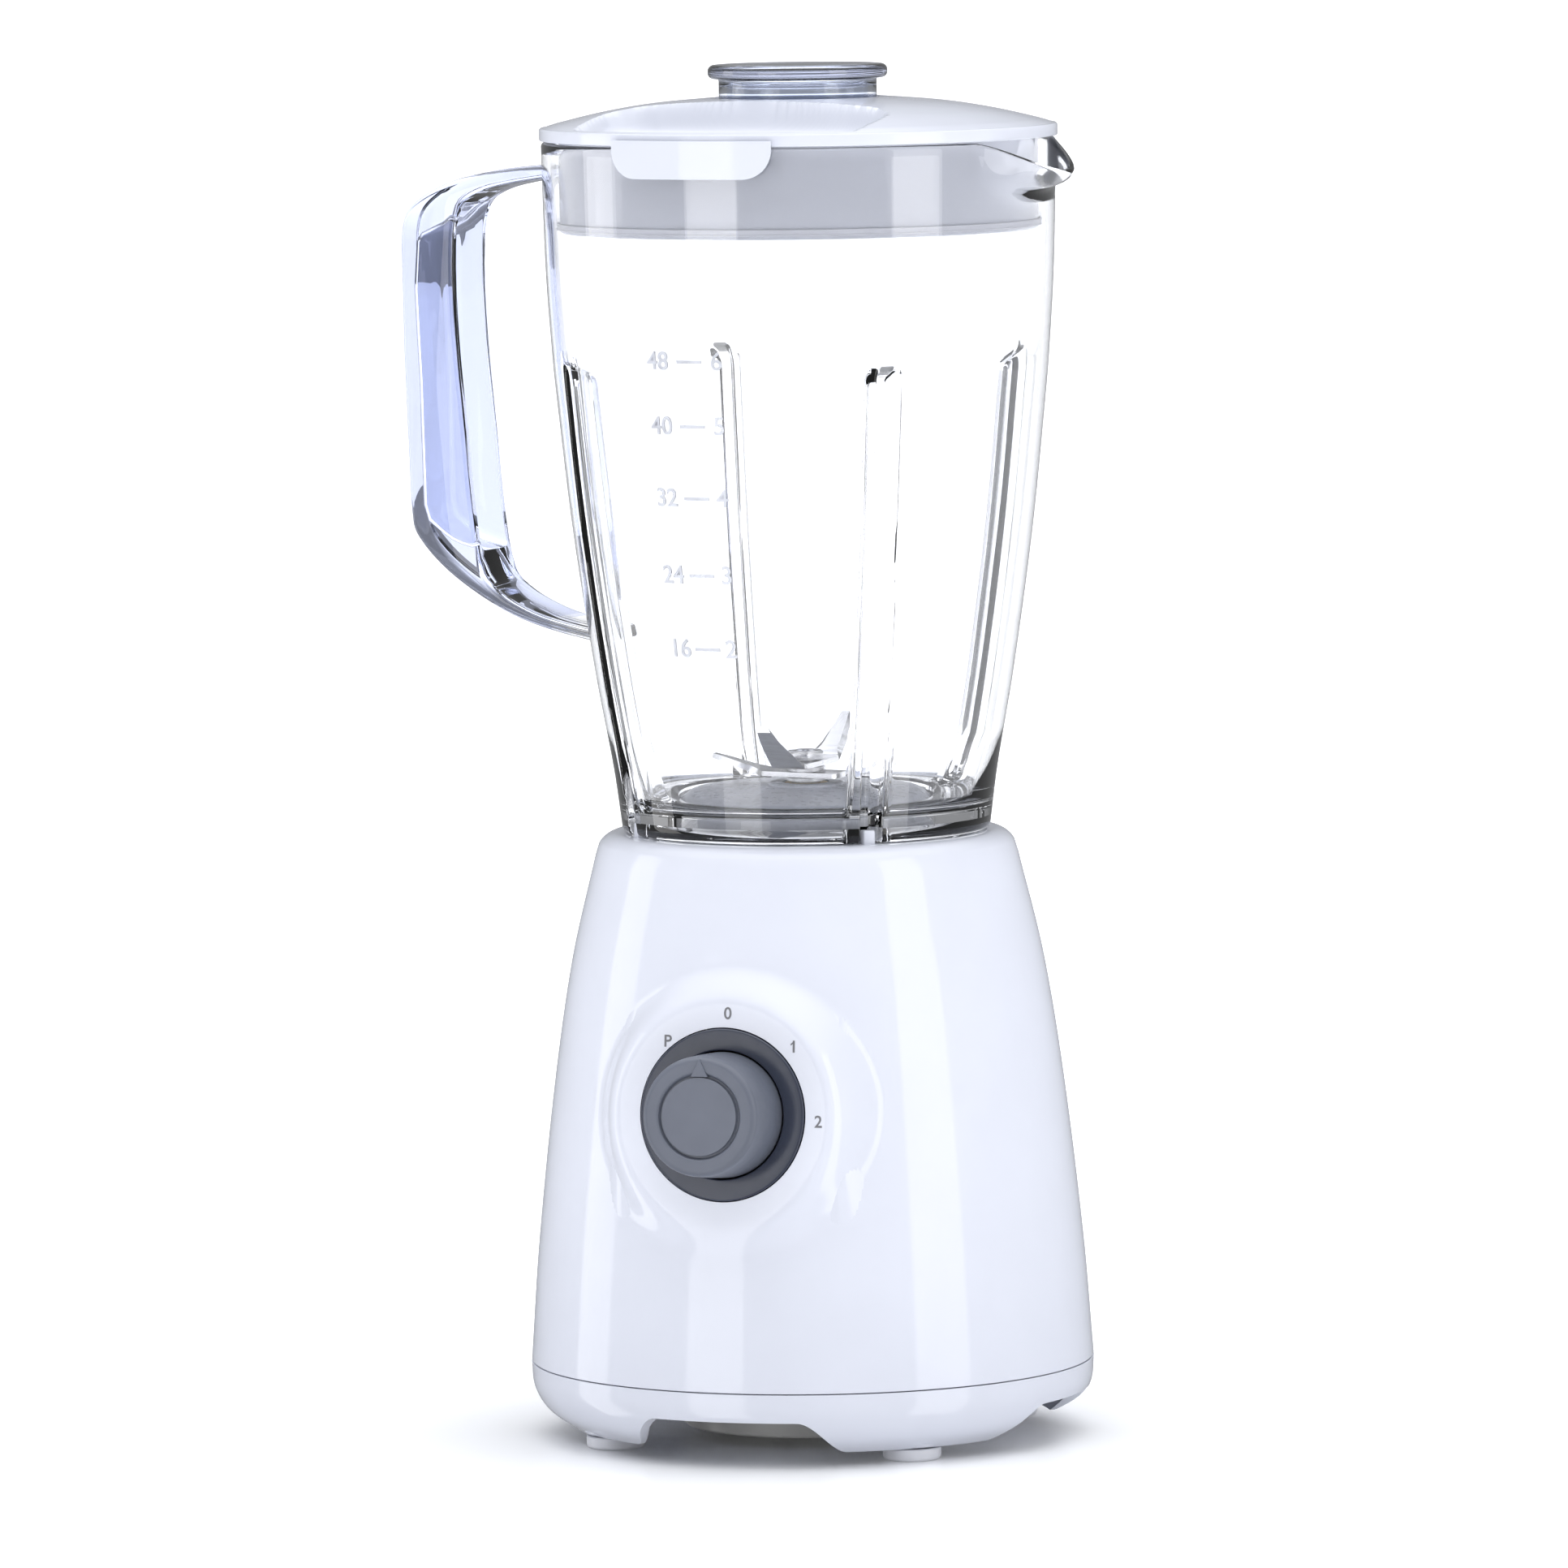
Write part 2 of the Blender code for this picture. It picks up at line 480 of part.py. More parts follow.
def make_blade_unit(jug_stand, looks):
    carrier = [(39.4, 153), (39.4, 155.7), (35.4, 155.7), (35.4, 171), (32, 176), (12, 177.8), (10.5, 179),
               (6.4, 179), (6.4, 157.2), (10.5, 157.2), (10.5, 170.5), (31, 169), (33, 166), (33, 153)]
    piece("blade_carrier", turned(carrier, 24), jug_stand, looks["grey"])
    piece("blade_seal", tube(36.3, 39.2, 156, 157.7, 24), jug_stand, looks["rubber"])
    collar = [(33.5, 149.5), (43.2, 149.5), (43.2, 166), (40, 166), (40, 152.7), (33.5, 152.7)]
    piece("blade_collar", turned(collar, 24), jug_stand, looks["grey"])
    piece("blade_bush", tube(BORE_R, 6.1, 157.5, 178.7, 20), jug_stand, looks["brass"])
    shaft = turned([(0, 152.6), (SHAFT_R, 152.6), (SHAFT_R, 179.6), (5.6, 179.6), (5.6, 180.6), (3, 180.6),
                    (3, 190), (0, 190)], 20)
    piece("blade_shaft", shaft, jug_stand, looks["steel"])
    make_blade("lower_blade", 28, 5, 180.9, 0, jug_stand, looks)
    piece("blade_spacer", tube(3.3, 5.5, 182.8, 184.2, 16), jug_stand, looks["steel"])
    make_blade("upper_blade", 27, 13, 184.5, 90, jug_stand, looks)
    piece("blade_nut", prism(arc(5.4, 0, 300, 5), 186.4, 189.6), jug_stand, looks["steel"])
    cut(bpy.data.objects["blade_nut"], tool("nut_bore", rod(3.3, 185, 191, 16), jug_stand))
    driven = turned([(0, 151.3), (15.5, 151.3), (15.5, 155.2), (BORE_R, 155.2), (BORE_R, 152.3), (0, 152.3)])
    coupling = piece("driven_coupling", driven, jug_stand, looks["black"])
    turns = [45 - JUG_TURN + angle for angle in (0, 90, 180, 270)]
    add(coupling, tool("driven_dogs", copies(lambda: dog(14, 146.4, 151.8), turns), jug_stand))
    piece("circlip", tube(BORE_R, 7, 155.6, 156.7, 16), jug_stand, looks["steel"])


def make_blade(name, reach, rise, height, angle, jug_stand, looks):
    """A flat bar with both ends bent up and narrowed."""
    flat, thick = 11, 1.6
    under = [(-reach, rise), (-flat, 0), (flat, 0), (reach, rise)]
    bm = prism(under + [(x, z + thick) for x, z in under[::-1]], -5, 5)
    for vert in bm.verts:
        if abs(vert.co.x) > flat + 1:
            vert.co.z *= 0.4
    blade = piece(name, bm, jug_stand, looks["steel"], (0, 0, height), (90, 0, angle))
    cut(blade, tool(f"{name}_hole", rod(3.3, height - 2, height + 4, 16), jug_stand))


def scoop_outline(spare):
    """The thumb scoop from above, made wider and longer by spare."""
    half, back, corner = SCOOP_HALF_WIDTH + spare, -SCOOP_BACK + 1.6 * spare, 10
    right = arc(corner, 0, 90, 4, (half - corner, back - corner))
    left = arc(corner, 90, 180, 4, (corner - half, back - corner))
    front = SCOOP_FRONT_R + spare
    spread = math.degrees(math.asin(half / front))
    return [*arc(front, -90 - spread, -90 + spread, 8), *right, *left]


def make_lid(jug_stand, looks):
    solid = [(0, SKIRT_Z), (SKIRT_R, SKIRT_Z), (SKIRT_R, LID_EDGE_Z), (LID_R, LID_EDGE_Z), (LID_R, 362.6)]
    lid = piece("lid", turned([*solid, *LID_OUTLINE, (0, 371)], RING_STEPS), jug_stand, looks["white"])
    cut(lid, tool("scoop", prism(scoop_outline(0), SCOOP_Z, 380), jug_stand))
    inside = [(0, SKIRT_Z - 2), (SKIRT_R - LID_WALL, SKIRT_Z - 2), (SKIRT_R - LID_WALL, 359.9), (62, 362.6),
              (41, 369.6 - LID_WALL), (24.6, 368.8), (24.6, 358), (0, 358)]
    cavity = tool("lid_cavity", turned(inside, RING_STEPS), jug_stand)
    cut(cavity, tool("scoop_shell", prism(scoop_outline(LID_WALL), SCOOP_Z - LID_WALL, 380), jug_stand))
    cut(lid, cavity)
    hole = [(0, 340), (CAP_PLUG_R + GAP, 340), (CAP_PLUG_R + GAP, 366), (CAP_BODY_R + GAP, 366),
            (CAP_BODY_R + GAP, 376), (0, 376)]
    cut(lid, tool("cap_hole", turned(hole, RING_STEPS), jug_stand))
    tab = [(LID_R, TAB_Z), (LID_R + 1.8, TAB_Z), (LID_R + 1.8, 361.4), (69.5, 361.4), (69.5, 360.5),
           (LID_R, 360.5)]
    plate = turned(tab, 8, 2 * TAB_HALF_ANGLE)
    add(lid, tool("tab", plate, jug_stand, (0, 0, 0), (0, 0, -90 - TAB_HALF_ANGLE)))
    piece("lid_seal", tube(SKIRT_R + GAP, 67.4, SKIRT_Z + 1, SKIRT_Z + 4.5, RING_STEPS), jug_stand,
          looks["rubber"])


def make_cap(jug_stand, looks):
    outside = [(0, CAP_TOP_Z), (CAP_FLANGE_R - 0.6, CAP_TOP_Z), (CAP_FLANGE_R, CAP_TOP_Z - 0.6),
               (CAP_FLANGE_R, 376.2), (CAP_BODY_R, 376.2), (CAP_BODY_R, 366 + GAP), (CAP_PLUG_R, 366 + GAP),
               (CAP_PLUG_R - 0.4, 345)]
    inside = [(18, 345), (18.4, 366), (19.6, 368), (19.6, CAP_TOP_Z - 2.6), (0, CAP_TOP_Z - 2.6)]
    piece("measuring_cap", turned(outside + inside, 24), jug_stand, looks["clear"])


def make_looks():
    return {
        "white": material("white_plastic", (0.86, 0.87, 0.92), 0.25),
        "clear": material("clear_plastic", (0.75, 0.78, 0.92), 0.08, alpha=0.35),
        "grey": material("grey_plastic", (0.2, 0.22, 0.26), 0.4),
        "slate": material("slate_plastic", (0.1, 0.11, 0.14), 0.25),
        "black": material("black_plastic", (0.02, 0.02, 0.02), 0.5),
        "foot": material("foot_rubber", (0.82, 0.83, 0.87), 0.6),
        "rubber": material("rubber", (0.35, 0.35, 0.36), 0.8),
        "steel": material("steel", (0.6, 0.6, 0.6), 0.25, 1.0),
        "aluminium": material("aluminium", (0.7, 0.7, 0.7), 0.45, 1.0),
        "iron": material("laminated_iron", (0.25, 0.25, 0.26), 0.5, 1.0),
        "copper": material("copper", (0.72, 0.34, 0.17), 0.35, 1.0),
        "brass": material("brass", (0.72, 0.55, 0.25), 0.35, 1.0),
    }


def main():
    clear_scene()
    looks = make_looks()
    stand = empty("stand", None, (AXIS_X, AXIS_Y, 0))
    dial = empty("dial_axis", stand, (0, -DIAL_REACH, DIAL_Z), (90 - DIAL_TILT, 0, 0))
    jug_stand = empty("jug_stand", stand, (0, 0, 0), (0, 0, JUG_TURN))
    make_housing(stand, dial, looks)
    make_cover(stand, looks)
    make_feet(stand, looks)
    make_dial(dial, looks)
    make_stator(stand, looks)
    make_motor_frame(stand, looks)
    make_mains(stand, looks)
    make_rotor(stand, looks)
    make_jug(jug_stand, looks)
    make_blade_unit(jug_stand, looks)
    make_lid(jug_stand, looks)
    make_cap(jug_stand, looks)


main()
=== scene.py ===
# %% [markdown]
# # A countertop blender
# A blender is a motor base with a jug standing on it. The base and the lid are glossy white mouldings,
# the jug and its cap are clear plastic, and the dial is grey. The CAD model already has every piece at
# its real size and every joint, so this script gives the outside its fine surface and gives each piece a
# finish. First the frame is loaded.

# %% Load the frame
import json
import math

import bmesh
import bpy
from mathutils import Matrix, Vector, geometry


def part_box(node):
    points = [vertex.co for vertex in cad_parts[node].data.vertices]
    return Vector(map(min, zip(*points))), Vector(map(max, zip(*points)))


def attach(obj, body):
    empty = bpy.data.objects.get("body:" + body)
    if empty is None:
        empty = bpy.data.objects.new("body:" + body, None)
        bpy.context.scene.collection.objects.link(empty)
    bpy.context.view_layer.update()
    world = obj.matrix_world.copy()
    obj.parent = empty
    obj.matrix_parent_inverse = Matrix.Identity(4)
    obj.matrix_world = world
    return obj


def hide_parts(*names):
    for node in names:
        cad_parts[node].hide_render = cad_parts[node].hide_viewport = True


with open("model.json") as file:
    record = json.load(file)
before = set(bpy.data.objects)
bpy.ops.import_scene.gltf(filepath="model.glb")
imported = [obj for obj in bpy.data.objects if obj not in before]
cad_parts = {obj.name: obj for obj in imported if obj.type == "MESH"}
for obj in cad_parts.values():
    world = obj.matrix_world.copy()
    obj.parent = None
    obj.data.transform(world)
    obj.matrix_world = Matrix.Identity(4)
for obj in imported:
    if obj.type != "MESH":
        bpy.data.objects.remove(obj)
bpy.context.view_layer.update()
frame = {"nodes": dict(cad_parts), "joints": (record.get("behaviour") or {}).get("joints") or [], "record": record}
scene = bpy.context.scene
mm = 0.001

# %% [markdown]
# Every round piece turns about one of two axes. The motor shaft marks the upright axis that the base, jug
# and blades share, and the dial's joint gives the sloping axis of the knob. The jug stands turned a
# little on its base, because its four grooves drop over four lugs on the deck. Reading the axes from the
# frame keeps the fine pieces in register with the CAD pieces that they cover.

# %% Read the two axes
shaft_low, shaft_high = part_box("motor_shaft")
axis_x, axis_y = (shaft_low.x + shaft_high.x) / 2, (shaft_low.y + shaft_high.y) / 2
knob_joint = next(joint for joint in frame["joints"] if joint["name"] == "knob_turn")
dial_centre = Vector(knob_joint["pos_m"])
dial_out = -Vector(knob_joint["axis"]).normalized()
jug_turn = math.radians(-6)

upright = Matrix.Translation((axis_x, axis_y, 0))
jug_place = upright @ Matrix.Rotation(jug_turn, 4, "Z")
dial_tilt = math.atan2(-dial_out.y, dial_out.z)
dial_place = Matrix.Translation(dial_centre) @ Matrix.Rotation(dial_tilt, 4, "X")
print("upright axis at", round(axis_x, 4), round(axis_y, 4), "dial tilt", round(math.degrees(dial_tilt), 1))

# %% [markdown]
# ## Tools for turned pieces
# Most of a blender is round. In Blender a round piece is a profile spun about an axis, which gives clean
# rings of faces that reflect smoothly. The profile could be a long list of points, but a few points
# joined by arcs and a smooth curve are easier to read and to change.

# %% Profiles and spins
def arc(radius, start, end, steps, middle):
    """Points on an arc, from one angle in degrees to another."""
    angles = [math.radians(start + (end - start) * step / steps) for step in range(steps + 1)]
    return [(middle[0] + radius * math.cos(a), middle[1] + radius * math.sin(a)) for a in angles]


def smooth_line(points, per_span):
    """A smooth curve through the points."""
    line = [Vector((x, y, 0)) for x, y in points]
    padded = [2 * line[0] - line[1], *line, 2 * line[-1] - line[-2]]
    made = []
    for before, start, end, after in zip(padded, padded[1:], padded[2:], padded[3:]):
        reach = (end - start).length
        leave = (end - before).normalized() * reach / 3
        arrive = (after - start).normalized() * reach / 3
        made += geometry.interpolate_bezier(start, start + leave, end - arrive, end, per_span + 1)[:-1]
    return [*[(point.x, point.y) for point in made], points[-1]]


def straight(start, end, steps):
    """Evenly spaced points from start up to, but not including, end."""
    return [(start[0] + (end[0] - start[0]) * step / steps, start[1] + (end[1] - start[1]) * step / steps)
            for step in range(steps)]


def turned(profile, steps):
    """Spins a profile of (radius, height) in millimetres round Z, closed unless it starts on the axis."""
    bm = bmesh.new()
    verts = [bm.verts.new((radius * mm, 0, height * mm)) for radius, height in profile]
    ends = [] if profile[0][0] == 0 else [(verts[-1], verts[0])]
    edges = [bm.edges.new(pair) for pair in [*zip(verts, verts[1:]), *ends]]
    bmesh.ops.spin(bm, geom=verts + edges, axis=(0, 0, 1), steps=steps, angle=math.tau, use_merge=True)
    bmesh.ops.remove_doubles(bm, verts=bm.verts, dist=1e-6)
    return bm


def prism(outline, low, high):
    """Extrudes an (x, y) outline in millimetres between two heights."""
    bm = bmesh.new()
    face = bm.faces.new([bm.verts.new((x * mm, y * mm, low * mm)) for x, y in outline])
    made = bmesh.ops.extrude_face_region(bm, geom=[face])
    lifted = [item for item in made["geom"] if isinstance(item, bmesh.types.BMVert)]
    bmesh.ops.translate(bm, vec=(0, 0, (high - low) * mm), verts=lifted)
    return bm


def fade(value, start, end):
    """Goes smoothly from 1 at start to 0 at end."""
    share = min(max((value - start) / (end - start), 0), 1)
    return 1 - share * share * (3 - 2 * share)


def round_edges(bm, width, angle=40, segments=3):
    """Bevels every edge sharper than the angle, with the width in millimetres."""
    sharp = [edge for edge in bm.edges if edge.is_manifold and edge.calc_face_angle() > math.radians(angle)]
    bmesh.ops.bevel(bm, geom=sharp, offset=width * mm, affect="EDGES", segments=segments, profile=0.5,
                    material=-1, clamp_overlap=True)


print("a quarter arc:", [(round(x, 2), round(y, 2)) for x, y in arc(1, 0, 90, 2, (0, 0))])

# %% [markdown]
# ## Tools for finished pieces
# A finished piece is one mesh with its place in its points. Where two shapes meet or one cuts another, a
# Boolean modifier joins them, and its result is kept as the mesh, so that nothing is left to compute
# later.

# %% Make, join and ride
def piece(name, bm, place=upright, smooth=35):
    """Makes an object from a bmesh and puts its place in its points."""
    bmesh.ops.recalc_face_normals(bm, faces=bm.faces)
    bm.transform(place)
    mesh = bpy.data.meshes.new(name)
    bm.to_mesh(mesh)
    bm.free()
    mesh.shade_smooth()
    mesh.set_sharp_from_angle(angle=math.radians(smooth))
    made = bpy.data.objects.new(name, mesh)
    scene.collection.objects.link(made)
    return made


def carve(obj, operation, others, smooth=35):
    """Adds or cuts the other shapes, keeps the result as obj's mesh and removes the others."""
    for other in others:
        modifier = obj.modifiers.new(other.name, "BOOLEAN")
        modifier.operation = operation
        modifier.solver = "EXACT"
        modifier.object = other
    bpy.context.view_layer.update()
    solved = bpy.data.meshes.new_from_object(obj.evaluated_get(bpy.context.evaluated_depsgraph_get()))
    obj.modifiers.clear()
    obj.data = solved
    solved.shade_smooth()
    solved.set_sharp_from_angle(angle=math.radians(smooth))
    for other in others:
        bpy.data.objects.remove(other)


def finish_piece(obj, body, look, slot, *nodes):
    """Gives a piece its body, its finish and the CAD nodes that it covers."""
    obj.data.materials.clear()
    obj.data.materials.append(look)
    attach(obj, body)
    if nodes:
        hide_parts(*nodes)
    print(obj.name, "has", len(obj.data.polygons), "faces and rides on", body)


print("piece tools ready")

# %% [markdown]
# ## Finishes
# Even new plastic isn't one flat colour: the moulding leaves a faint ripple, and the gloss changes a
# little across the surface. Each finish here is a Principled shader with noise on its colour, roughness
# and bump. The noise reads Object coordinates in metres, so its grain keeps its real size on every piece.

# %% Noise on a finish
def new_finish(name, colour, metallic=0.0, ior=1.5):
    finish = bpy.data.materials.new(name)
    finish.use_nodes = True
    shader = finish.node_tree.nodes["Principled BSDF"]
    shader.inputs["Base Color"].default_value = (*colour, 1)
    shader.inputs["Metallic"].default_value = metallic
    shader.inputs["IOR"].default_value = ior
    return finish, shader


def grain(finish, size, stretch=(1, 1, 1), detail=3):
    """Noise whose lumps are about size millimetres across, drawn out by stretch."""
    nodes, links = finish.node_tree.nodes, finish.node_tree.links
    coords, mapping, noise = (nodes.new(kind) for kind in
                              ("ShaderNodeTexCoord", "ShaderNodeMapping", "ShaderNodeTexNoise"))
    mapping.inputs["Scale"].default_value = stretch
    noise.inputs["Scale"].default_value = 1 / (size * mm)
    noise.inputs["Detail"].default_value = detail
    links.new(coords.outputs["Object"], mapping.inputs["Vector"])
    links.new(mapping.outputs["Vector"], noise.inputs["Vector"])
    return noise.outputs["Fac"]


def vary(finish, shader, socket, pattern, low, high):
    """Lets the pattern move a value between low and high."""
    spread = finish.node_tree.nodes.new("ShaderNodeMapRange")
    spread.inputs["From Min"].default_value = 0.3
    spread.inputs["From Max"].default_value = 0.7
    spread.inputs["To Min"].default_value = low
    spread.inputs["To Max"].default_value = high
    finish.node_tree.links.new(pattern, spread.inputs["Value"])
    finish.node_tree.links.new(spread.outputs["Result"], shader.inputs[socket])


def mottle(finish, shader, pattern, dark, light):
    """Lets the pattern move the colour between dark and light."""
    ramp = finish.node_tree.nodes.new("ShaderNodeValToRGB")
    ramp.color_ramp.elements[0].position = 0.3
    ramp.color_ramp.elements[0].color = (*dark, 1)
    ramp.color_ramp.elements[1].position = 0.7
    ramp.color_ramp.elements[1].color = (*light, 1)
    finish.node_tree.links.new(pattern, ramp.inputs["Fac"])
    finish.node_tree.links.new(ramp.outputs["Color"], shader.inputs["Base Color"])


def ripple(finish, shader, pattern, height, strength=0.3):
    """Raises the surface by the pattern, with the height in millimetres."""
    bump = finish.node_tree.nodes.new("ShaderNodeBump")
    bump.inputs["Distance"].default_value = height * mm
    bump.inputs["Strength"].default_value = strength
    finish.node_tree.links.new(pattern, bump.inputs["Height"])
    finish.node_tree.links.new(bump.outputs["Normal"], shader.inputs["Normal"])


def moulded(name, colour, gloss, change=0.012, ripple_height=0.02, ripple_size=9):
    """Opaque moulded plastic: colour a little uneven, gloss as a (low, high) roughness."""
    finish, shader = new_finish(name, colour)
    broad = grain(finish, 22)
    dark, light = [c * (1 - change) for c in colour], [min(c * (1 + change), 1) for c in colour]
    mottle(finish, shader, broad, dark, light)
    vary(finish, shader, "Roughness", grain(finish, 3), *gloss)
    ripple(finish, shader, grain(finish, ripple_size, detail=1), ripple_height)
    return finish


print("grain, vary, mottle and ripple ready")

# %% [markdown]
# The base, cover and lid are the same glossy white with a cool tone. The dial is a satin grey with a very
# fine sparked texture, and its ring a darker gloss. Clear plastic bends light like thick glass but is
# thin, so it gets transmission with the index of a styrene plastic and a breath of lilac in its colour.

# %% Plastics
gloss_white = moulded("gloss_white", (0.66, 0.68, 0.755), (0.07, 0.10))
satin_grey = moulded("satin_grey", (0.118, 0.13, 0.165), (0.36, 0.44), 0.05, 0.015, 0.5)
slate_gloss = moulded("slate_gloss", (0.034, 0.04, 0.062), (0.2, 0.26), 0.04, 0.012, 4)
satin_black = moulded("satin_black", (0.022, 0.022, 0.024), (0.4, 0.5), 0.1, 0.02, 0.6)
dial_ink = moulded("dial_ink", (0.17, 0.17, 0.185), (0.45, 0.55), 0.06, 0.004, 0.4)
mount_grey = moulded("mount_grey", (0.58, 0.60, 0.66), (0.25, 0.33), 0.02, 0.015, 3)
# The pan under the cover gets a darker, warmer grey as painted shade, for the shadow that falls under the machine.
pan_painted_shade = moulded("pan_painted_shade", (0.62, 0.61, 0.58), (0.3, 0.4), 0.03, 0.02, 5)


def clear_plastic(name, colour, gloss, ripple_height):
    finish, shader = new_finish(name, colour, ior=1.57)
    shader.inputs["Transmission Weight"].default_value = 1.0
    mottle(finish, shader, grain(finish, 30), [c * 0.985 for c in colour], colour)
    vary(finish, shader, "Roughness", grain(finish, 6), *gloss)
    ripple(finish, shader, grain(finish, 25, (1, 1, 0.35), 1), ripple_height, 0.15)
    return finish


clear_jug = clear_plastic("clear_jug", (0.972, 0.977, 0.995), (0.0, 0.02), 0.02)
clear_handle = clear_plastic("clear_handle", (0.61, 0.65, 0.82), (0.0, 0.02), 0.02)
clear_cap = clear_plastic("clear_cap", (0.86, 0.9, 0.995), (0.0, 0.03), 0.02)
frosted_mark = clear_plastic("frosted_mark", (0.82, 0.83, 0.87), (0.25, 0.4), 0.01)
print("plastics:", len(bpy.data.materials), "finishes so far")

# %% [markdown]
# Turned and stamped metal shows fine lines where the tool ran. Noise stretched a hundred times along one
# axis makes such lines. Rubber is matt, with a fine bloom, and the motor's windings show their copper
# wire as close rings.

# %% Metals, rubber and windings
def metal(name, colour, gloss, stretch, height=0.01):
    finish, shader = new_finish(name, colour, metallic=1.0)
    lines = grain(finish, 0.8, stretch)
    mottle(finish, shader, lines, [c * 0.88 for c in colour], colour)
    vary(finish, shader, "Roughness", lines, *gloss)
    ripple(finish, shader, lines, height, 0.25)
    return finish


turned_steel = metal("turned_steel", (0.62, 0.62, 0.63), (0.18, 0.32), (0.05, 0.05, 4))
blade_steel = metal("blade_steel", (0.72, 0.72, 0.73), (0.12, 0.24), (0.04, 0.6, 0.6))
cast_aluminium = metal("cast_aluminium", (0.68, 0.68, 0.69), (0.4, 0.55), (1, 1, 1), 0.06)
core_iron = metal("core_iron", (0.3, 0.3, 0.31), (0.4, 0.5), (0.03, 0.03, 2.5), 0.08)
wound_copper = metal("wound_copper", (0.7, 0.32, 0.15), (0.25, 0.4), (0.05, 0.05, 2), 0.15)
sintered_brass = metal("sintered_brass", (0.70, 0.53, 0.25), (0.35, 0.5), (1, 1, 1), 0.02)
foot_rubber = moulded("foot_rubber", (0.78, 0.79, 0.84), (0.35, 0.45), 0.02, 0.01, 1.5)
soft_rubber = moulded("soft_rubber", (0.21, 0.21, 0.22), (0.7, 0.85), 0.08, 0.03, 1.2)
seal_rubber = moulded("seal_rubber", (0.80, 0.81, 0.87), (0.5, 0.6), 0.03, 0.02, 1.5)
carbon_black = moulded("carbon_black", (0.03, 0.03, 0.032), (0.5, 0.65), 0.2, 0.03, 0.4)

slot_finish = {
    "white_plastic": gloss_white, "clear_plastic": clear_jug, "grey_plastic": satin_grey,
    "blade_mount_plastic": mount_grey, "slate_plastic": slate_gloss, "black_plastic": satin_black,
    "carbon": carbon_black, "foot_rubber": foot_rubber, "rubber": soft_rubber, "seal_rubber": seal_rubber,
    "steel": turned_steel, "blade_steel": blade_steel, "aluminium": cast_aluminium,
    "laminated_iron": core_iron, "copper": wound_copper, "brass": sintered_brass,
}
for part in frame["record"]["subparts"]:
    node = frame["nodes"][part["node"]]
    node.data.materials.clear()
    node.data.materials.append(slot_finish[part["material_slot"]])

# %% [markdown]
# ## The base housing
# The housing is one shell: a wall that swells toward its foot, a rounded shoulder, a flat deck and a
# round well for the jug's foot. Round the dial the wall swells out into a flat, soft-edged boss. A
# Boolean disc would leave a hard line there, so the ring of points near the dial is moved instead. The
# columns are crowded toward the dial to give that swelling enough points.

# %% Base housing
deck_z, well_r, well_z, wall = 168.3, 46.0, 141.0, 2.5
housing_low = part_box("base_housing")[0]
seam_z = housing_low.z / mm
ring_r, boss_flat, boss_edge = 23.5, 29.5, 41.0


def base_wall():
    line = smooth_line([(78.15, seam_z + 0.25), (75.7, 54), (70.6, 99.5), (65.3, 133.5), (58.6, 161.8)], 34)
    return [(77.95, seam_z)] + line + arc(6.4, 22, 90, 10, (52, deck_z - 6.4))[1:]


def crowd(bm, centre, strength):
    """Turns the columns toward one direction, where the shape needs more points."""
    for vert in bm.verts:
        radius = math.hypot(vert.co.x, vert.co.y)
        away = (math.atan2(vert.co.y, vert.co.x) - centre + math.pi) % math.tau - math.pi
        angle = centre + away * (1 - strength * (1 + math.cos(away)) / 2)
        vert.co = (radius * math.cos(angle), radius * math.sin(angle), vert.co.z)


def raise_boss(bm, place):
    """Moves the outer wall near the dial out onto the dial's plane."""
    into_dial = place.inverted() @ upright
    back = into_dial.inverted()
    for vert in bm.verts:
        local = into_dial @ vert.co
        away = math.hypot(local.x, local.y) / mm
        outer = math.hypot(vert.co.x, vert.co.y) / mm > 56 and vert.co.z > 30 * mm
        if outer and away < boss_edge and -24 * mm < local.z < 3 * mm:
            local.z *= 1 - fade(away, boss_flat, boss_edge)
            vert.co = back @ local


outside = base_wall()
well = [*arc(0.7, 90, 180, 3, (well_r + 0.7, deck_z - 0.7)), *arc(1, 360, 270, 3, (well_r - 1, well_z + 1)),
        (7.5, well_z), (7.5, well_z - wall)]
under = [(well_r + wall, well_z - wall), (well_r + wall, deck_z - 3), (52.5, deck_z - 3.4)]
inside = [(radius - 3, height) for radius, height in
          [(58.6, 161.8), (65.3, 133.5), (70.6, 99.5), (75.7, 54), (77.95, seam_z)]]
shell = turned(outside + well + under + inside, 384)
crowd(shell, math.radians(-90), 0.45)
raise_boss(shell, dial_place)
housing = piece("housing_shell", shell)

lug_spots = [jug_turn + math.radians(angle) for angle in (45, 135, 225, 315)]
lugs = []
for number, angle in enumerate(lug_spots, 1):
    lug = prism([(46.8, -1.7), (50.2, -1.7), (50.2, 1.7), (46.8, 1.7)], deck_z - 1.5, deck_z + 3.8)
    round_edges(lug, 0.5)
    lugs.append(piece(f"lug_{number}", lug, upright @ Matrix.Rotation(angle, 4, "Z")))
carve(housing, "UNION", lugs)
recess_profile = [(0, -3.8), (ring_r + 0.3, -3.8), (ring_r + 0.3, 4), (0, 4)]
recess = piece("recess", turned(recess_profile, 96), dial_place)
spindle_hole = piece("spindle_hole", turned([(0, -20), (3.6, -20), (3.6, 1), (0, 1)], 32), dial_place)
gland_turn = Matrix.Translation((0, 0, 35 * mm)) @ Matrix.Rotation(math.radians(-90), 4, "X")
gland_hole = piece("gland_hole", turned([(0, 60), (6.3, 60), (6.3, 90), (0, 90)], 32), upright @ gland_turn)
carve(housing, "DIFFERENCE", [recess, spindle_hole, gland_hole])
finish_piece(housing, "base", gloss_white, "white_plastic", "base_housing")

